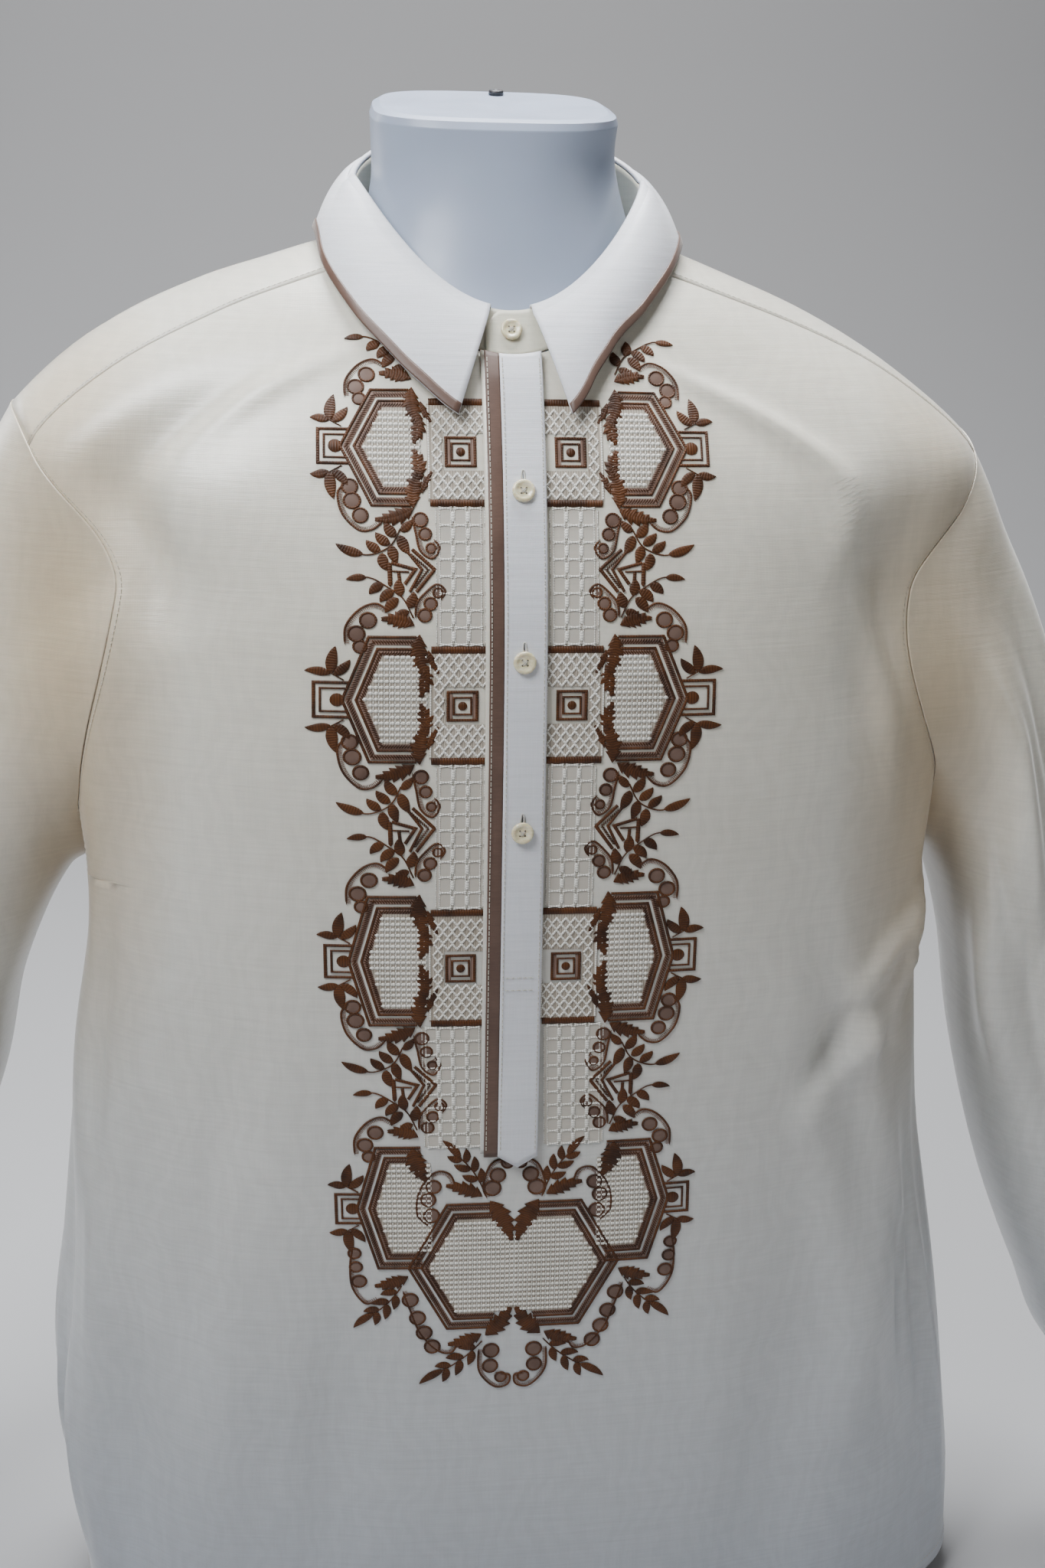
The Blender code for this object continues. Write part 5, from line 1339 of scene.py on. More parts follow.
def stroke(work, path, width, height=0.5, taper=0.0, step=1.2, base=0.12):
    """A satin-stitched line: a low rounded ridge along a path."""
    points, side = dense(path, step)
    run = np.concatenate([[0.0], np.cumsum(np.linalg.norm(np.diff(points, axis=0), axis=1))])
    size = np.full(len(points), width / 2)
    if taper:
        size = size * np.clip(np.minimum(run, run[-1] - run) / taper, 0.15, 1.0)
    rows = []
    for across, high in CROWN:
        xy = points + side * (across * size)[:, None]
        rows.append(np.column_stack([xy, np.full(len(points), base + height * high)]))
    vertices = np.stack(rows, 1).reshape(-1, 3)
    uv = np.column_stack([np.repeat(run / 1000, 5), np.tile([c for c, _ in CROWN], len(points))])
    work.add(vertices, [f[::-1] for f in grid_faces(len(points), 5)], uv)


def rope(work, path, width, pitch=1.15, height=0.55, lean=0.7):
    """A line of short slanted stitches side by side."""
    points, side = dense(path, 0.3)
    run = np.concatenate([[0.0], np.cumsum(np.linalg.norm(np.diff(points, axis=0), axis=1))])
    starts = np.arange(pitch / 2, run[-1], pitch)
    at = np.stack([np.interp(starts, run, points[:, k]) for k in range(2)], 1)
    out = np.stack([np.interp(starts, run, side[:, k]) for k in range(2)], 1)
    along = np.stack([out[:, 1], -out[:, 0]], 1)
    across = out + along * lean
    across = across / np.linalg.norm(across, axis=1, keepdims=True) * width / 2
    thick = along * pitch * 0.46
    for centre, a, b in zip(at, across, thick):
        xy = [centre - a - b * 0.3, centre - a + b * 0.3, centre + b, centre + a + b * 0.3,
              centre + a - b * 0.3, centre - b, centre - a * 0.5, centre + a * 0.5]
        high = (0.1, 0.1, 0.15, 0.1, 0.1, 0.15, height, height)
        vertices = [(x, s, h) for (x, s), h in zip(xy, high)]
        faces = [(0, 6, 1), (1, 6, 7, 2), (2, 7, 3), (3, 7, 4), (4, 7, 6, 5), (5, 6, 0)]
        work.add(vertices, [f[::-1] for f in faces], [(0.0, 0.0)] * 8)


LEAF_LENGTHEN = 1.12
LEAF_WIDEN = 1.25
TEETH_WIDEN = 1.12


def leaf(work, base, tip, width, bend=0.0, height=0.6, teeth=0, rows=14):
    """A satin leaf with a groove down its middle; teeth gives it a serrated edge."""
    base, tip = np.asarray(base, float), np.asarray(tip, float)
    width = width * (TEETH_WIDEN if teeth else LEAF_WIDEN)
    if teeth:
        rows = teeth * 4 + 2
    else:
        tip = base + (tip - base) * LEAF_LENGTHEN
    r = np.linspace(0.0, 1.0, rows)
    axis = tip - base
    sideways = np.array([-axis[1], axis[0]]) / np.linalg.norm(axis)
    spine = base + axis * r[:, None] + sideways * (bend * 4 * r * (1 - r))[:, None]
    heading = np.gradient(spine, axis=0)
    heading = heading / np.linalg.norm(heading, axis=1, keepdims=True)
    side = np.stack([-heading[:, 1], heading[:, 0]], 1)
    half = width / 2 * np.sin(np.pi * np.clip(r, 0, 1) ** 0.80) ** 0.75
    jag = np.zeros(rows)
    if teeth:
        saw = (r * teeth) % 1.0
        half = half * (0.60 + 0.62 * saw)
        jag = saw * 1.5
    size = np.maximum(half, 0.12)
    grid = []
    for across, high in ((-1.0, 0.0), (-0.55, 1.0), (-0.08, 0.62), (0.08, 0.62), (0.55, 1.0), (1.0, 0.0)):
        xy = spine + side * (across * size)[:, None] + heading * (abs(across) * jag)[:, None]
        grid.append(np.column_stack([xy, 0.12 + height * high * np.clip(size / 1.2, 0.3, 1.0)]))
    vertices = np.stack(grid, 1).reshape(-1, 3)
    run = np.linalg.norm(axis) * r / 1000
    uv = np.column_stack([np.repeat(run, 6), np.tile(np.linspace(-1, 1, 6), rows)])
    work.add(vertices, [f[::-1] for f in grid_faces(rows, 6)], uv)


RING_WIDEN = 1.2


def ring(work, pale, centre, radius):
    """An eyelet: a brown rim round a fan of paler stitches."""
    radius = radius * RING_WIDEN
    turn = np.linspace(0, 2 * np.pi, 22)
    circle = np.asarray(centre) + radius * np.stack([np.cos(turn), np.sin(turn)], 1)
    stroke(work, circle, 1.15, 0.50)
    sides = 18
    turn = np.linspace(0, 2 * np.pi, sides, endpoint=False)
    vertices = [(centre[0], centre[1], 0.34)]
    for share, high in ((0.5, 0.30), (0.88, 0.12)):
        vertices += [(centre[0] + radius * share * np.cos(a), centre[1] + radius * share * np.sin(a),
                      high + (0.06 if k % 2 else 0.0)) for k, a in enumerate(turn)]
    faces = [(0, 1 + c, 1 + (c + 1) % sides) for c in range(sides)]
    faces += [(1 + c, 1 + sides + c, 1 + sides + (c + 1) % sides, 1 + (c + 1) % sides) for c in range(sides)]
    pale.add(vertices, faces, [(0.0, 0.0)] * len(vertices))


def disc(work, centre, radius, height=0.6, sides=16):
    turn = np.linspace(0, 2 * np.pi, sides, endpoint=False)
    vertices = [(centre[0], centre[1], 0.1 + height)]
    for share, high in ((0.6, 0.85), (1.0, 0.0)):
        vertices += [(centre[0] + radius * share * np.cos(a), centre[1] + radius * share * np.sin(a),
                      0.1 + height * high) for a in turn]
    faces = [(0, 1 + c, 1 + (c + 1) % sides) for c in range(sides)]
    faces += [(1 + c, 1 + sides + c, 1 + sides + (c + 1) % sides, 1 + (c + 1) % sides) for c in range(sides)]
    work.add(vertices, faces, [(v[0] / 1000, 0.0) for v in vertices])


def tendril(work, pale, points, rings, inward=1.0):
    """A thin curve with a comb of short stitches on its inner side, carrying eyelets."""
    path = curve(points, 0.9)
    stroke(work, path, 1.15, 0.50, taper=2.0)
    fine, side = dense(path, 1.5)
    for point, out in zip(fine[1:-1], side[1:-1]):
        stroke(pale, [point, point + out * inward * 2.1], 0.42, 0.22, step=2.5)
    for x, s, radius in rings:
        ring(work, pale, (x, s), radius)


def inside(polygon, x, y):
    polygon = np.asarray(polygon, float)
    hit = np.zeros(np.shape(x), bool)
    for (x1, y1), (x2, y2) in zip(polygon, np.roll(polygon, -1, axis=0)):
        crosses = (y1 > y) != (y2 > y)
        at = x1 + (y - y1) * (x2 - x1) / ((y2 - y1) if y2 != y1 else 1e-9)
        hit ^= crosses & (x < at)
    return hit


def waffle(work, polygon, pitch_x=2.55, pitch_s=3.05):
    """Drawn-thread filling: plump white knots in level rows, joined by fine bars."""
    polygon = np.asarray(polygon, float)
    low, high = polygon.min(0), polygon.max(0)
    for row, s in enumerate(np.arange(low[1] + 1.6, high[1], pitch_s)):
        for x in np.arange(low[0] + 1.2, high[0], pitch_x):
            if not inside(polygon, np.array(x), np.array(s)):
                continue
            a, b = pitch_x * 0.52, pitch_s * 0.30
            turn = np.linspace(0, 2 * np.pi, 8, endpoint=False)
            vertices = [(x, s, 0.62)] + [(x + a * np.cos(q) * k, s + b * np.sin(q) * k, h)
                                         for k, h in ((0.6, 0.52), (1.0, 0.10)) for q in turn]
            faces = [(0, 1 + c, 1 + (c + 1) % 8) for c in range(8)]
            faces += [(1 + c, 9 + c, 9 + (c + 1) % 8, 1 + (c + 1) % 8) for c in range(8)]
            work.add(vertices, faces, [(v[0] / 1000, 0.0) for v in vertices])
            if inside(polygon, np.array(x), np.array(s + pitch_s)):
                bar = x - pitch_x / 2
                stroke(work, [(bar, s + 0.6), (bar, s + pitch_s - 0.6)], 0.5, 0.25, step=3)


# Each row of the chest pattern: the hexagon's middle and half height, the box beside the placket, how far out
# the tab, the apex and the corners lie, and where the leaves on the inner side begin.
ROW_COLUMNS = ("s", "half", "box_s", "box_half", "tab", "apex", "corner", "inner")
ROWS = (
    (736.5, 30.5, 734.0, 24.0, 97.0, 86.5, 71.5, 52.5),
    (609.5, 32.5, 606.5, 26.5, 98.5, 85.5, 73.0, 50.0),
    (469.5, 36.5, 465.5, 29.0, 94.5, 83.5, 74.0, 50.0),
    (325.0, 37.5, None, None, 94.5, 84.0, 73.5, 50.0),
)
BOX_NEAR, BOX_FAR = 15.2, 43.0
TAB_HALF = 9.6
TAB_INSET = 2.9


def nested(corner_x, apex_x, inner_x, s, half, inset):
    """The hexagon's outline on its outer side, moved in."""
    slant = np.hypot(half, apex_x - corner_x)
    shift_x = inset * slant / half
    shift_corner = inset * (slant - (apex_x - corner_x)) / half
    return [(inner_x, s + half - inset), (corner_x - shift_corner, s + half - inset), (apex_x - shift_x, s),
            (corner_x - shift_corner, s - half + inset), (inner_x, s - half + inset)]


def patch(work, polygon, high=0.03, step=6.0):
    """A flat piece of darker ground under the open work, cut to a polygon in level slices: the thinned cloth,
    darkened with painted shade where the openings show the dim inside.
    """
    polygon = np.asarray(polygon, float)
    between = np.arange(polygon[:, 1].min(), polygon[:, 1].max(), step)
    levels = np.unique(np.concatenate([polygon[:, 1], between]))
    rows = []
    for s in levels:
        s = np.clip(s, levels[0] + 0.01, levels[-1] - 0.01)
        crossings = []
        for (x1, s1), (x2, s2) in zip(polygon, np.roll(polygon, -1, axis=0)):
            if (s1 > s) != (s2 > s):
                crossings.append(x1 + (s - s1) * (x2 - x1) / (s2 - s1))
        if len(crossings) >= 2:
            rows.append([(x, s, high) for x in np.linspace(min(crossings), max(crossings), 9)])
    vertices = np.array(rows).reshape(-1, 3)
    work.add(vertices, grid_faces(len(rows), 9), vertices[:, :2] / 1000)


BAND_WIDTH = 10.0


def band(brown, pale, *shape):
    """The hexagon's border, from its outer edge in: a line and slanted stitches, a gap, and both again."""
    stroke(brown, nested(*shape, 0.65), 1.5, 0.6)
    stroke(pale, nested(*shape, 3.2), 2.9, 0.10, base=0.05)
    rope(brown, nested(*shape, 3.2), 3.0, pitch=1.3)
    stroke(brown, nested(*shape, 6.6), 1.4, 0.5)
    stroke(pale, nested(*shape, 8.6), 2.6, 0.10, base=0.05)
    rope(brown, nested(*shape, 8.7), 2.6, pitch=1.3, lean=-0.7)


def make_hexagon(brown, pale, white, ground, row):
    s, half, tab, apex, corner, inner = row.s, row.half, row.tab, row.apex, row.corner, row.inner
    band(brown, pale, corner, apex, inner, s, half)
    filling = nested(corner, apex, inner - 5, s, half, BAND_WIDTH)
    waffle(white, filling)
    patch(ground, filling)
    for inset, width in ((0.8, 1.6), (0.8 + TAB_INSET, 1.1)):
        high = TAB_HALF - inset
        at = apex - (apex - corner) * high / half - inset * 0.4
        edge = tab - inset
        stroke(brown, [(at, s + high), (edge, s + high), (edge, s - high), (at, s - high)], width, 0.55)
    disc(brown, (apex + 1.6, s), 3.4)
    for sign in (1, -1):
        high = s + sign * TAB_HALF
        stroke(brown, curve([(apex - 1.5, high + sign * 0.5), (apex + 4.5, high + sign * 4.0)]), 0.7, 0.4)
        leaf(brown, (apex + 4.0, high + sign * 3.5), (apex + 2.4, high + sign * 16.0), 4.4, -sign * 0.8)
        leaf(brown, (apex + 3.0, high + sign * 3.2), (apex - 3.6, high + sign * 10.0), 3.8, sign * 0.8)
        leaf(brown, (apex + 4.6, high + sign * 3.4), (tab + 2.0, high + sign * 4.8), 3.6, sign * 0.8)


def make_leaf_pair(brown, x, s, half):
    """Two serrated leaves, one above the other, that meet at mid height on the hexagon's inner side."""
    for sign in (1, -1):
        high = sign * half
        leaf(brown, (x + 1.5, s + sign * (half + 0.8)), (x - 3.4, s + high * 0.30), 7.6, sign * 2.2, 0.75, 5)
        leaf(brown, (x - 1.0, s + high * 0.52), (x + 1.2, s + sign * 1.6), 7.0, -sign * 1.2, 0.75, 4)
        leaf(brown, (x - 2.6, s + high * 0.78), (x - 7.6, s + high * 0.42), 3.4, sign * 0.6, 0.7, 3)


def make_box(brown, pale, white, ground, row):
    s, half, far = row.box_s, row.box_half, BOX_FAR
    near = BOX_NEAR - 1.5
    for start, low, high in ((near, -half - 1, -9.6), (36.0, -9.6, 9.6), (near, 9.6, half + 1)):
        patch(ground, [(start, s + low), (far + 1, s + low), (far + 1, s + high), (start, s + high)])
    for sign in (1, -1):
        at = s + sign * (half + 2.0)
        stroke(brown, [(BOX_NEAR, at), (far, at)], 3.7, 0.8)
    square_x = 27.6
    for reach, width in ((7.2, 1.5), (4.3, 1.1)):
        loop = [(square_x, s + reach), (square_x + reach, s + reach), (square_x + reach, s - reach),
                (square_x - reach, s - reach), (square_x - reach, s + reach), (square_x, s + reach)]
        stroke(brown, loop, width, 0.6)
    for start, end in ((-7.0, -5.0), (5.0, 7.0)):
        stroke(pale, [(square_x + start, s), (square_x + end, s)], 13.6, 0.08, base=0.05, step=3)
    disc(brown, (square_x, s), 2.3, 0.7)
    pitch, rise = 4.75, 3.3
    levels = np.arange(s - half + rise / 2, s + half - 0.5, rise)
    for k, level in enumerate(levels):
        start = square_x + 9.2 if abs(level - s) < 9.5 else BOX_NEAR
        xs = np.arange(start, far + 0.1, pitch / 2)
        turn = (np.round((xs - BOX_NEAR) / (pitch / 2)).astype(int) + k) % 2
        stroke(white, np.column_stack([xs, level + (turn - 0.5) * rise * 0.86]), 1.1, 0.5)
    for x in (BOX_NEAR - 0.4, far + 0.3):
        stroke(white, [(x, s - half), (x, s + half)], 0.8, 0.35)


def make_grid(white, cells, low, high, near, columns, pitch=7.4):
    """Drawn-thread squares beside the placket."""
    far = near + columns * pitch
    patch(cells, [(near - 1, low), (far + 1, low), (far + 1, high), (near - 1, high)])
    count = max(1, int(round((high - low) / 8.2)))
    rows = np.linspace(low, high, count + 1)
    for level in rows:
        for x in np.arange(near, far - 0.1, pitch):
            xs = np.linspace(x + 0.4, x + pitch - 0.4, 7)
            sag = 0.55 * np.sin(np.linspace(0, np.pi, 7))
            for sign in (1, -1):
                stroke(white, np.column_stack([xs, level + sign * (0.60 - sag)]), 0.75, 0.45)
    for c in range(columns + 1):
        x = near + c * pitch
        for a, b in zip(rows[:-1], rows[1:]):
            middle = (a + b) / 2
            if 0 < c < columns:
                stroke(white, [(x, middle - 2.7), (x, middle + 2.7)], 2.2, 0.65, taper=0.8)
            for beside in (x - 0.9, x + 0.9):
                stroke(white, [(beside, a + 0.8), (beside, b - 0.8)], 0.45, 0.28, step=3)


# The leaves of the two sprays between hexagons: x and share of the half height at the foot and at the tip,
# then the width and the bend in millimetres.
LOW_SPRAY = (
    (73.5, -0.10, 82.0, -0.13, 3.0, 0.5), (65.5, -0.20, 71.5, -0.34, 4.0, 0.8),
    (60.5, -0.30, 66.5, -0.46, 4.2, 0.8), (58.5, -0.42, 64.0, -0.62, 4.2, 0.8),
    (57.0, -0.38, 58.0, -0.14, 4.2, -0.8), (54.0, -0.56, 51.6, -0.34, 4.4, 0.8),
    (53.5, -0.62, 60.0, -0.74, 3.8, 0.6),
)
HIGH_SPRAY = (
    (75.0, 0.26, 86.5, 0.40, 3.8, -0.9), (67.0, 0.32, 73.0, 0.46, 3.8, -0.8),
    (62.5, 0.42, 68.6, 0.58, 4.0, -0.8), (59.5, 0.54, 64.2, 0.74, 4.2, -0.8),
    (66.0, 0.28, 64.2, 0.04, 4.2, 0.8), (61.5, 0.40, 59.2, 0.16, 4.2, 0.8),
    (57.8, 0.56, 53.8, 0.30, 4.4, 0.6), (57.5, 0.62, 52.6, 0.78, 3.6, 0.6),
)


def make_link(brown, pale, middle, half, part="whole"):
    """What joins two hexagons: sprays, nested arrows, eyelet tendrils and serrated leaves."""
    def at(x, v):
        return (x, middle + v * half)

    def some(*pairs):
        return [at(x, v) for x, v in pairs]

    def eyelets(*triples):
        return [(*at(x, v), r) for x, v, r in triples]

    def leaves(spray):
        for x, v, tip_x, tip_v, width, bend in spray:
            leaf(brown, at(x, v), at(tip_x, tip_v), width, bend)

    tendril(brown, pale, some((63.4, -0.60), (69.5, -0.50), (77.0, -0.60), (83.0, -0.85), (83.5, -1.14)),
            eyelets((72.8, -0.76, 3.1), (78.2, -0.97, 3.1), (76.6, -1.17, 2.5)), -1.0)
    leaf(brown, at(51.0, -0.84), at(66.5, -0.74), 7.0, 1.2, 0.75, 5)
    stem = some((80.6, -0.12), (72.2, -0.10), (63.9, -0.24), (56.4, -0.42), (51.5, -0.72))
    stroke(brown, curve(stem), 0.8, 0.4)
    leaves(LOW_SPRAY)
    if part == "lower":
        return
    leaf(brown, at(51.0, 0.98), at(69.5, 0.80), 7.0, -1.6, 0.75, 5)
    tendril(brown, pale,
            some((65.7, 0.77), (71.0, 0.64), (77.5, 0.64), (84.8, 0.88), (87.0, 1.20), (83.4, 1.36)),
            eyelets((76.4, 0.86, 2.9), (80.3, 1.09, 3.2), (81.4, 1.31, 3.0)), 1.0)
    stem = some((84.0, 0.36), (74.1, 0.25), (65.7, 0.32), (61.1, 0.44), (57.5, 0.66))
    stroke(brown, curve(stem), 0.8, 0.4)
    leaves(HIGH_SPRAY)
    for reach, width in ((0.0, 1.8), (3.2, 1.5)):
        arrow = some((52.0 + reach, 0.34), (41.2 + reach * 1.9, 0.03), (50.0 + reach, -0.32))
        stroke(brown, arrow, width, 0.55)
    rope(brown, some((52.6, 0.26), (44.2, 0.03), (50.8, -0.25)), 2.0, 1.2)
    stroke(brown, some((62.0, 0.13), (50.5, 0.03), (55.5, -0.20)), 1.8, 0.5)
    stroke(brown, some((61.5, 0.00), (53.5, -0.01)), 1.0, 0.45)
    stroke(brown, some((62.8, 0.14), (62.4, -0.24)), 2.2, 0.5, taper=1.0)
    stroke(brown, some((58.4, -0.02), (57.8, -0.22)), 1.7, 0.5)
    tendril(brown, pale,
            some((52.0, 0.86), (50.2, 0.60), (48.0, 0.32), (42.2, 0.20), (38.6, 0.36), (41.5, 0.50)),
            eyelets((47.8, 0.80, 2.8), (45.6, 0.58, 2.4)), -1.0)
    ring(brown, pale, at(42.8, 0.36), 1.9)
    tendril(brown, pale,
            some((50.6, -0.72), (49.8, -0.50), (46.0, -0.34), (40.2, -0.20), (36.0, -0.30), (38.2, -0.44)),
            eyelets((46.0, -0.68, 2.6), (43.2, -0.50, 2.5)))
    ring(brown, pale, at(39.6, -0.33), 1.9)


SPRAY = (   # leaves along a spray's stem, from its foot to its tip: share of the stem, side, length, width
    (0.16, 1, 8.0, 3.6), (0.24, -1, 8.0, 3.6), (0.42, 1, 8.5, 3.6), (0.50, -1, 8.5, 3.6),
    (0.68, 1, 7.5, 3.4), (0.76, -1, 7.5, 3.4),
)


def make_spray(brown, foot, tip, bend, size=1.0):
    foot, tip = np.asarray(foot, float), np.asarray(tip, float)
    axis = tip - foot
    side = np.array([-axis[1], axis[0]]) / np.linalg.norm(axis)
    r = np.linspace(0, 1, 12)
    path = foot + axis * r[:, None] + side * (bend * 4 * r * (1 - r))[:, None]
    stroke(brown, path, 0.8, 0.4)
    for share, hand, length, width in SPRAY:
        start = np.array([np.interp(share, r, path[:, k]) for k in range(2)])
        along = axis / np.linalg.norm(axis)
        way = along * 0.80 + side * hand * 0.62
        leaf(brown, start, start + way * length * size, width * size, hand * 0.7 * size)
    leaf(brown, path[-3], tip + axis / np.linalg.norm(axis) * 7.5 * size, 3.6 * size, 0.8)


CENTRE_S, CENTRE_HALF, CENTRE_APEX, CENTRE_CORNER, CENTRE_INNER = 288.0, 39.5, 58.0, 37.0, 11.0


def make_centre(brown, pale, white, ground):
    """The hexagon under the placket, with its leaves, sprays and tendrils; drawn for one half."""
    shape = (CENTRE_CORNER, CENTRE_APEX, CENTRE_INNER, CENTRE_S, CENTRE_HALF)
    band(brown, pale, *shape)
    fill = nested(*shape, BAND_WIDTH)
    fill = [(0.0, CENTRE_S + CENTRE_HALF - 22.0)] + [(CENTRE_INNER, fill[0][1])] + fill[1:4]
    fill += [(CENTRE_INNER, CENTRE_S - CENTRE_HALF + 10.0), (0.0, CENTRE_S - CENTRE_HALF + 12.0)]
    waffle(white, fill)
    patch(ground, fill)
    top, low = CENTRE_S + CENTRE_HALF, CENTRE_S - CENTRE_HALF
    leaf(brown, (13.5, top + 1.0), (1.4, top - 24.0), 9.6, -1.5, 0.8, 5)
    leaf(brown, (15.5, low - 4.5), (1.6, low + 13.0), 9.4, 1.4, 0.8, 5)
    leaf(brown, (17.5, top + 4.0), (37.0, top + 11.0), 7.6, 1.2, 0.75, 5)
    leaf(brown, (17.5, low - 3.5), (36.0, low - 9.5), 7.6, -1.2, 0.75, 5)
    tendril(brown, pale, [(4.2, top + 22.5), (7.4, top + 26.0), (13.5, top + 22.0), (17.0, top + 10.0),
                          (15.0, top + 2.5)],
            [(3.6, top + 24.0, 2.7), (9.0, top + 16.5, 3.4), (12.0, top + 8.8, 3.7)], -1.0)
    make_spray(brown, (17.0, top + 8.0), (33.0, top + 31.0), 2.0)
    tendril(brown, pale, [(31.5, top + 8.5), (35.0, top + 18.0), (43.0, top + 19.0), (51.0, top + 8.0),
                          (52.5, top - 6.0), (46.0, top - 14.0)],
            [(43.6, top + 10.5, 3.2), (46.6, top + 2.6, 3.2), (45.0, top - 7.0, 3.4)], -1.0)
    leaf(brown, (54.0, top + 34.0), (47.5, top + 14.0), 9.6, 1.4, 0.75, 5)
    make_spray(brown, (17.0, low - 8.0), (44.0, low - 29.0), -2.0, 1.05)
    tendril(brown, pale, [(19.0, low - 13.0), (18.4, low - 28.0), (10.0, low - 38.0), (2.4, low - 37.0),
                          (1.4, low - 31.0), (6.5, low - 30.0)],
            [(12.0, low - 14.5, 3.6), (12.4, low - 24.5, 3.4), (6.4, low - 32.0, 2.6)], -1.0)
    tendril(brown, pale, [(60.5, CENTRE_S - 14.0), (56.0, CENTRE_S - 28.0), (51.0, low - 2.0),
                          (42.0, low - 13.0), (34.5, low - 15.0), (31.0, low - 10.0)],
            [(56.5, CENTRE_S - 20.0, 3.4), (52.6, CENTRE_S - 31.5, 3.4), (49.0, low - 1.5, 3.4),
             (44.6, low - 10.5, 3.4)], -1.0)
    make_spray(brown, (61.0, 277.0), (80.0, 256.5), -2.0)
    leaf(brown, (57.5, 283.0), (75.0, 277.0), 7.2, -1.2, 0.75, 5)
    tendril(brown, pale, [(73.0, 268.5), (80.0, 266.0), (86.5, 276.0), (87.5, 290.0), (86.0, 301.0)],
            [(83.0, 280.0, 3.0), (84.6, 289.0, 2.6), (85.2, 297.5, 2.6)], 1.0)


def make_embroidery():
    Row = namedtuple("Row", ROW_COLUMNS)
    rows = [Row(*row) for row in ROWS]
    brown, pale, white, ground, cells = (Needlework() for _ in range(5))
    for row in rows:
        make_hexagon(brown, pale, white, ground, row)
        if row.box_s is not None:
            make_box(brown, pale, white, ground, row)
            make_leaf_pair(brown, row.inner - 3.0, row.s, row.half)
    for above, below in zip(rows[:-1], rows[1:]):
        high, low = above.s - above.half, below.s + below.half
        make_link(brown, pale, (high + low) / 2, (high - low) / 2)
        near, columns = (17.2, 3) if below.box_s is not None else (17.2, 4)
        top = above.box_s - above.box_half - 4.6
        bottom = below.box_s + below.box_half + 4.6 if below.box_s is not None else 362.0
        make_grid(white, cells, bottom, top, near, columns)
    make_link(brown, pale, rows[0].s + rows[0].half + 32.0, 32.0, "lower")
    make_centre(brown, pale, white, ground)
    brown.make("embroidery_brown", BROWN_THREAD)
    pale.make("embroidery_mauve", PALE_THREAD)
    white.make("embroidery_white", WHITE_THREAD)
    ground.make("embroidery_ground", OPEN_GROUND)
    cells.make("embroidery_cells", CELL_GROUND)


# Dress form, with part.py's tables.
FORM_COLUMNS = ("t", "half", "z_side", "front", "back", "z_front", "z_back", "square")
FORM_TORSO = (
    (0.00, 0.166, 0.000, 0.094, 0.088, 0.000, 0.000, 2.4),
    (0.05, 0.172, 0.040, 0.099, 0.092, 0.040, 0.040, 2.4),
    (0.18, 0.178, 0.140, 0.104, 0.096, 0.140, 0.140, 2.4),
    (0.34, 0.166, 0.280, 0.104, 0.090, 0.280, 0.280, 2.3),
    (0.48, 0.162, 0.400, 0.108, 0.088, 0.400, 0.400, 2.3),
    (0.62, 0.176, 0.520, 0.118, 0.096, 0.520, 0.520, 2.3),
    (0.72, 0.186, 0.600, 0.124, 0.102, 0.590, 0.600, 2.3),
    (0.80, 0.194, 0.676, 0.121, 0.102, 0.648, 0.670, 2.3),
    (0.86, 0.196, 0.732, 0.111, 0.094, 0.692, 0.722, 2.3),
    (0.90, 0.186, 0.774, 0.103, 0.084, 0.722, 0.758, 2.2),
)
FORM_SEAT_T = (0.935, 0.950, 0.965, 0.980)   # levels where the form fills the shirt's shoulders
FORM_SEAT_GAP = 0.0007
FORM_FRONT_ROOM = 0.008                      # the form's chest and nape stay this much further in
FORM_NECK = (
    (1.00, 0.0735, 0.832, 0.076, 0.0550, 0.785, 0.843, 2.1),
    (1.02, 0.0700, 0.846, 0.066, 0.0535, 0.808, 0.858, 2.1),
    (1.05, 0.0660, 0.864, 0.057, 0.0525, 0.842, 0.876, 2.1),
    (1.08, 0.0650, 0.880, 0.053, 0.0540, 0.868, 0.8905, 2.3),
    (1.11, 0.0655, 0.896, 0.052, 0.0555, 0.8855, 0.9055, 3.0),
    (1.12, 0.0640, 0.900, 0.050, 0.0550, 0.8895, 0.9095, 3.4),
    (1.13, 0.0600, 0.902, 0.046, 0.0510, 0.8915, 0.9115, 3.4),
)
NECK_LEAN = -0.0030                          # the neck block stands this far to the wearer's right
FORM_CUT_LOOPS = 4                           # the uppermost loops are flat and parallel to the neck's cut
STUD_AT = (0.002, 0.038)                     # across and back, on the cut
STUD_RADIUS = 0.0042

FORM_LOOPS = 150


def form_seat(angles, t):
    room = FORM_SEAT_GAP + CLOTH + FORM_FRONT_ROOM * np.cos(np.radians(angles)) ** 4
    level = np.full(len(angles), t)
    return plain_body(angles, level) - body_normal(angles, level) * room[:, None]


def cut_height(loop, y):
    """The height at y of the plane through a loop's front and back points."""
    front, back = loop[np.argmin(loop[:, 1])], loop[np.argmax(loop[:, 1])]
    return front[2] + (back[2] - front[2]) * (y - front[1]) / (back[1] - front[1])


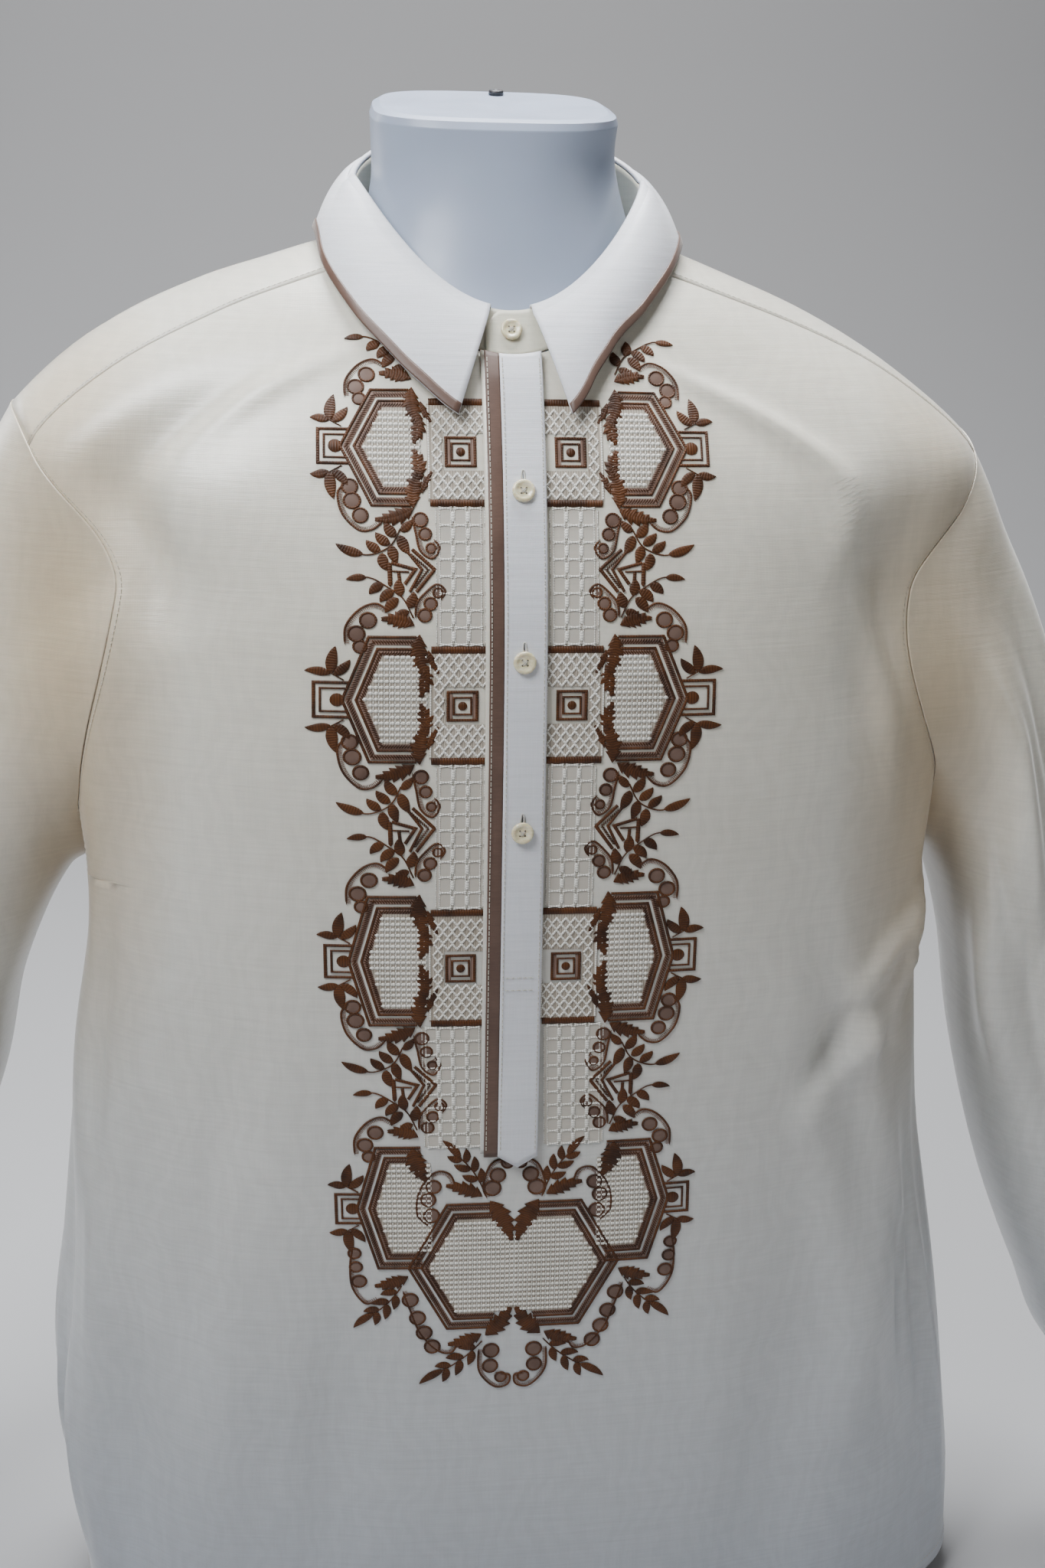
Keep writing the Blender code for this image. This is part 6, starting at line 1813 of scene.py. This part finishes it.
def make_form():
    """The CAD form's own loops, joined by smooth curves and rounded at the base and the neck's cut."""
    sides = 128
    angles = np.linspace(-180.0, 180.0, sides + 1)[:-1]
    torso = column_reader(FORM_COLUMNS, FORM_TORSO)
    neck = column_reader(FORM_COLUMNS, FORM_NECK)
    loops = [loop_point(angles, *(torso(name, t) for name in FORM_COLUMNS[1:]))
             for t in np.concatenate([np.linspace(0.0, 0.78, 10), [0.82, 0.85, 0.875, 0.90]])]
    loops.append((loops[-1] + form_seat(angles, FORM_SEAT_T[0])) / 2 + np.array([0.0, 0.0, 0.0015]))
    loops += [form_seat(angles, t) for t in FORM_SEAT_T]
    loops += [loop_point(angles, *(neck(name, t) for name in FORM_COLUMNS[1:]))
              for t in (1.00, 1.02, 1.05, 1.08, 1.11, 1.12, 1.13)]
    for k, loop in enumerate(loops[-6:]):
        loop[:, 0] += NECK_LEAN * min(1.0, (k + 1) / 3)
    for loop in loops[-FORM_CUT_LOOPS:]:
        loop[:, 2] = cut_height(loop, loop[:, 1])
    top = loops[-1]
    centre = top.mean(axis=0)
    centre[2] = cut_height(top, centre[1])
    stack = np.array(loops)
    knots = np.arange(len(stack), dtype=float)
    fine = np.linspace(0.0, len(stack) - 1.0, FORM_LOOPS)
    i = np.clip(fine.astype(int), 0, len(stack) - 2)
    u = (fine - i)[:, None, None]
    slope = np.gradient(stack, knots, axis=0)
    slope[-3:] = 0.0
    body = ((1 + 2 * u) * (1 - u) ** 2 * stack[i] + u * u * (3 - 2 * u) * stack[i + 1]
            + u * (1 - u) * ((1 - u) * slope[i] - u * slope[i + 1]))
    body[:, :, 2] = np.maximum(body[:, :, 2], 0.0)
    rounding = [top + (centre - top) * k for k in (0.02, 0.5, 0.97)]
    base = body[:1] * np.array([0.97, 0.97, 1.0])
    grid = np.concatenate([base * np.array([0.5, 0.5, 1.0]), base, body, np.array(rounding)])
    faces = grid_faces(len(grid), sides, closed=True)
    last = (len(grid) - 1) * sides
    faces += [tuple(range(sides))[::-1], tuple(last + c for c in range(sides))]
    piece = add_piece("form_body", grid.reshape(-1, 3), faces, FORM_LOOK)
    piece.data.set_sharp_from_angle(angle=0.9)
    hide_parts("form_torso")
    x, y = STUD_AT
    slope = cut_height(top, 1.0) - cut_height(top, 0.0)
    normal = np.array([0.0, -slope, 1.0]) / np.hypot(slope, 1.0)
    profile = ((0.0, 0.82), (0.25, 0.80), (0.30, 1.0), (0.80, 0.98), (0.96, 0.80), (1.0, 0.0), (0.0, 0.0))
    shape, faces = turned([(r * STUD_RADIUS, h * BUTTON_THICKNESS) for r, h in profile], 32)
    place = np.array([x, y, cut_height(top, y)]) + normal * LAY_GAP
    stud = add_piece("form_stud_cap", place + shape @ facing_frame(normal), faces, DARK_PAINT_AND_SLIT_SHADE_LOOK)
    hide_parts("form_stud")


# Studio

def make_studio():
    floor_look = bpy.data.materials.new("studio_floor")
    floor_look.use_nodes = True
    shader = floor_look.node_tree.nodes["Principled BSDF"]
    shader.inputs["Base Color"].default_value = (0.44, 0.44, 0.45, 1.0)
    shader.inputs["Roughness"].default_value = 0.9
    profile = [(-4.0, 0.0), (1.6, 0.0)]
    profile += [(1.6 + 1.2 * np.sin(a), 1.2 - 1.2 * np.cos(a)) for a in np.linspace(0.1, np.pi / 2, 12)]
    profile.append((2.8, 5.0))
    vertices = [(x, y, z) for y, z in profile for x in (-6.0, 6.0)]
    mesh = bpy.data.meshes.new("studio_floor")
    mesh.from_pydata(vertices, [], grid_faces(len(profile), 2))
    mesh.shade_smooth()
    mesh.materials.append(floor_look)
    floor = bpy.data.objects.new("studio_floor", mesh)
    bpy.context.scene.collection.objects.link(floor)
    for name, place, aim, size, power, colour in (
            ("key", (-0.66, -0.70, 1.60), (0.0, 0.0, 0.64), 0.6, 22.0, (0.95, 0.975, 1.0)),
            ("fill", (2.3, -1.1, 1.5), (0.0, 0.0, 0.5), 1.3, 6.0, (0.97, 0.985, 1.0)),
            ("front", (0.2, -3.0, 1.2), (0.0, 0.0, 0.5), 1.8, 3.0, (1.0, 0.98, 0.95)),
            ("top", (0.1, 0.3, 2.2), (0.0, 0.0, 0.7), 0.9, 64.0, (0.95, 0.975, 1.0)),
            ("back", (-1.9, 2.0, 1.1), (0.0, 0.0, 0.55), 0.8, 9.0, (1.0, 1.0, 1.0)),
            ("backdrop", (0.0, 0.9, 3.0), (0.0, 3.0, 0.8), 1.6, 45.0, (1.0, 1.0, 1.0))):
        data = bpy.data.lights.new(name, "AREA")
        data.energy = power
        data.size = size
        data.color = colour
        light = bpy.data.objects.new(name, data)
        light.location = place
        light.rotation_euler = (Vector(aim) - Vector(place)).to_track_quat("-Z", "Y").to_euler()
        bpy.context.scene.collection.objects.link(light)
    world = bpy.data.worlds.new("soft_grey")
    world.use_nodes = True
    world.node_tree.nodes["Background"].inputs["Color"].default_value = (0.88, 0.85, 0.80, 1.0)
    world.node_tree.nodes["Background"].inputs["Strength"].default_value = 0.13
    bpy.context.scene.world = world


make_front()
make_back()
make_yoke()
for node, side in (("sleeve_right", -1), ("sleeve_left", 1)):
    make_sleeve(node, side)
for node, side in (("cuff_right", -1), ("cuff_left", 1)):
    make_cuff(node, side)
make_placket()
make_buttons()
make_collar()
make_seam_stitches()
make_embroidery()
make_form()
make_studio()
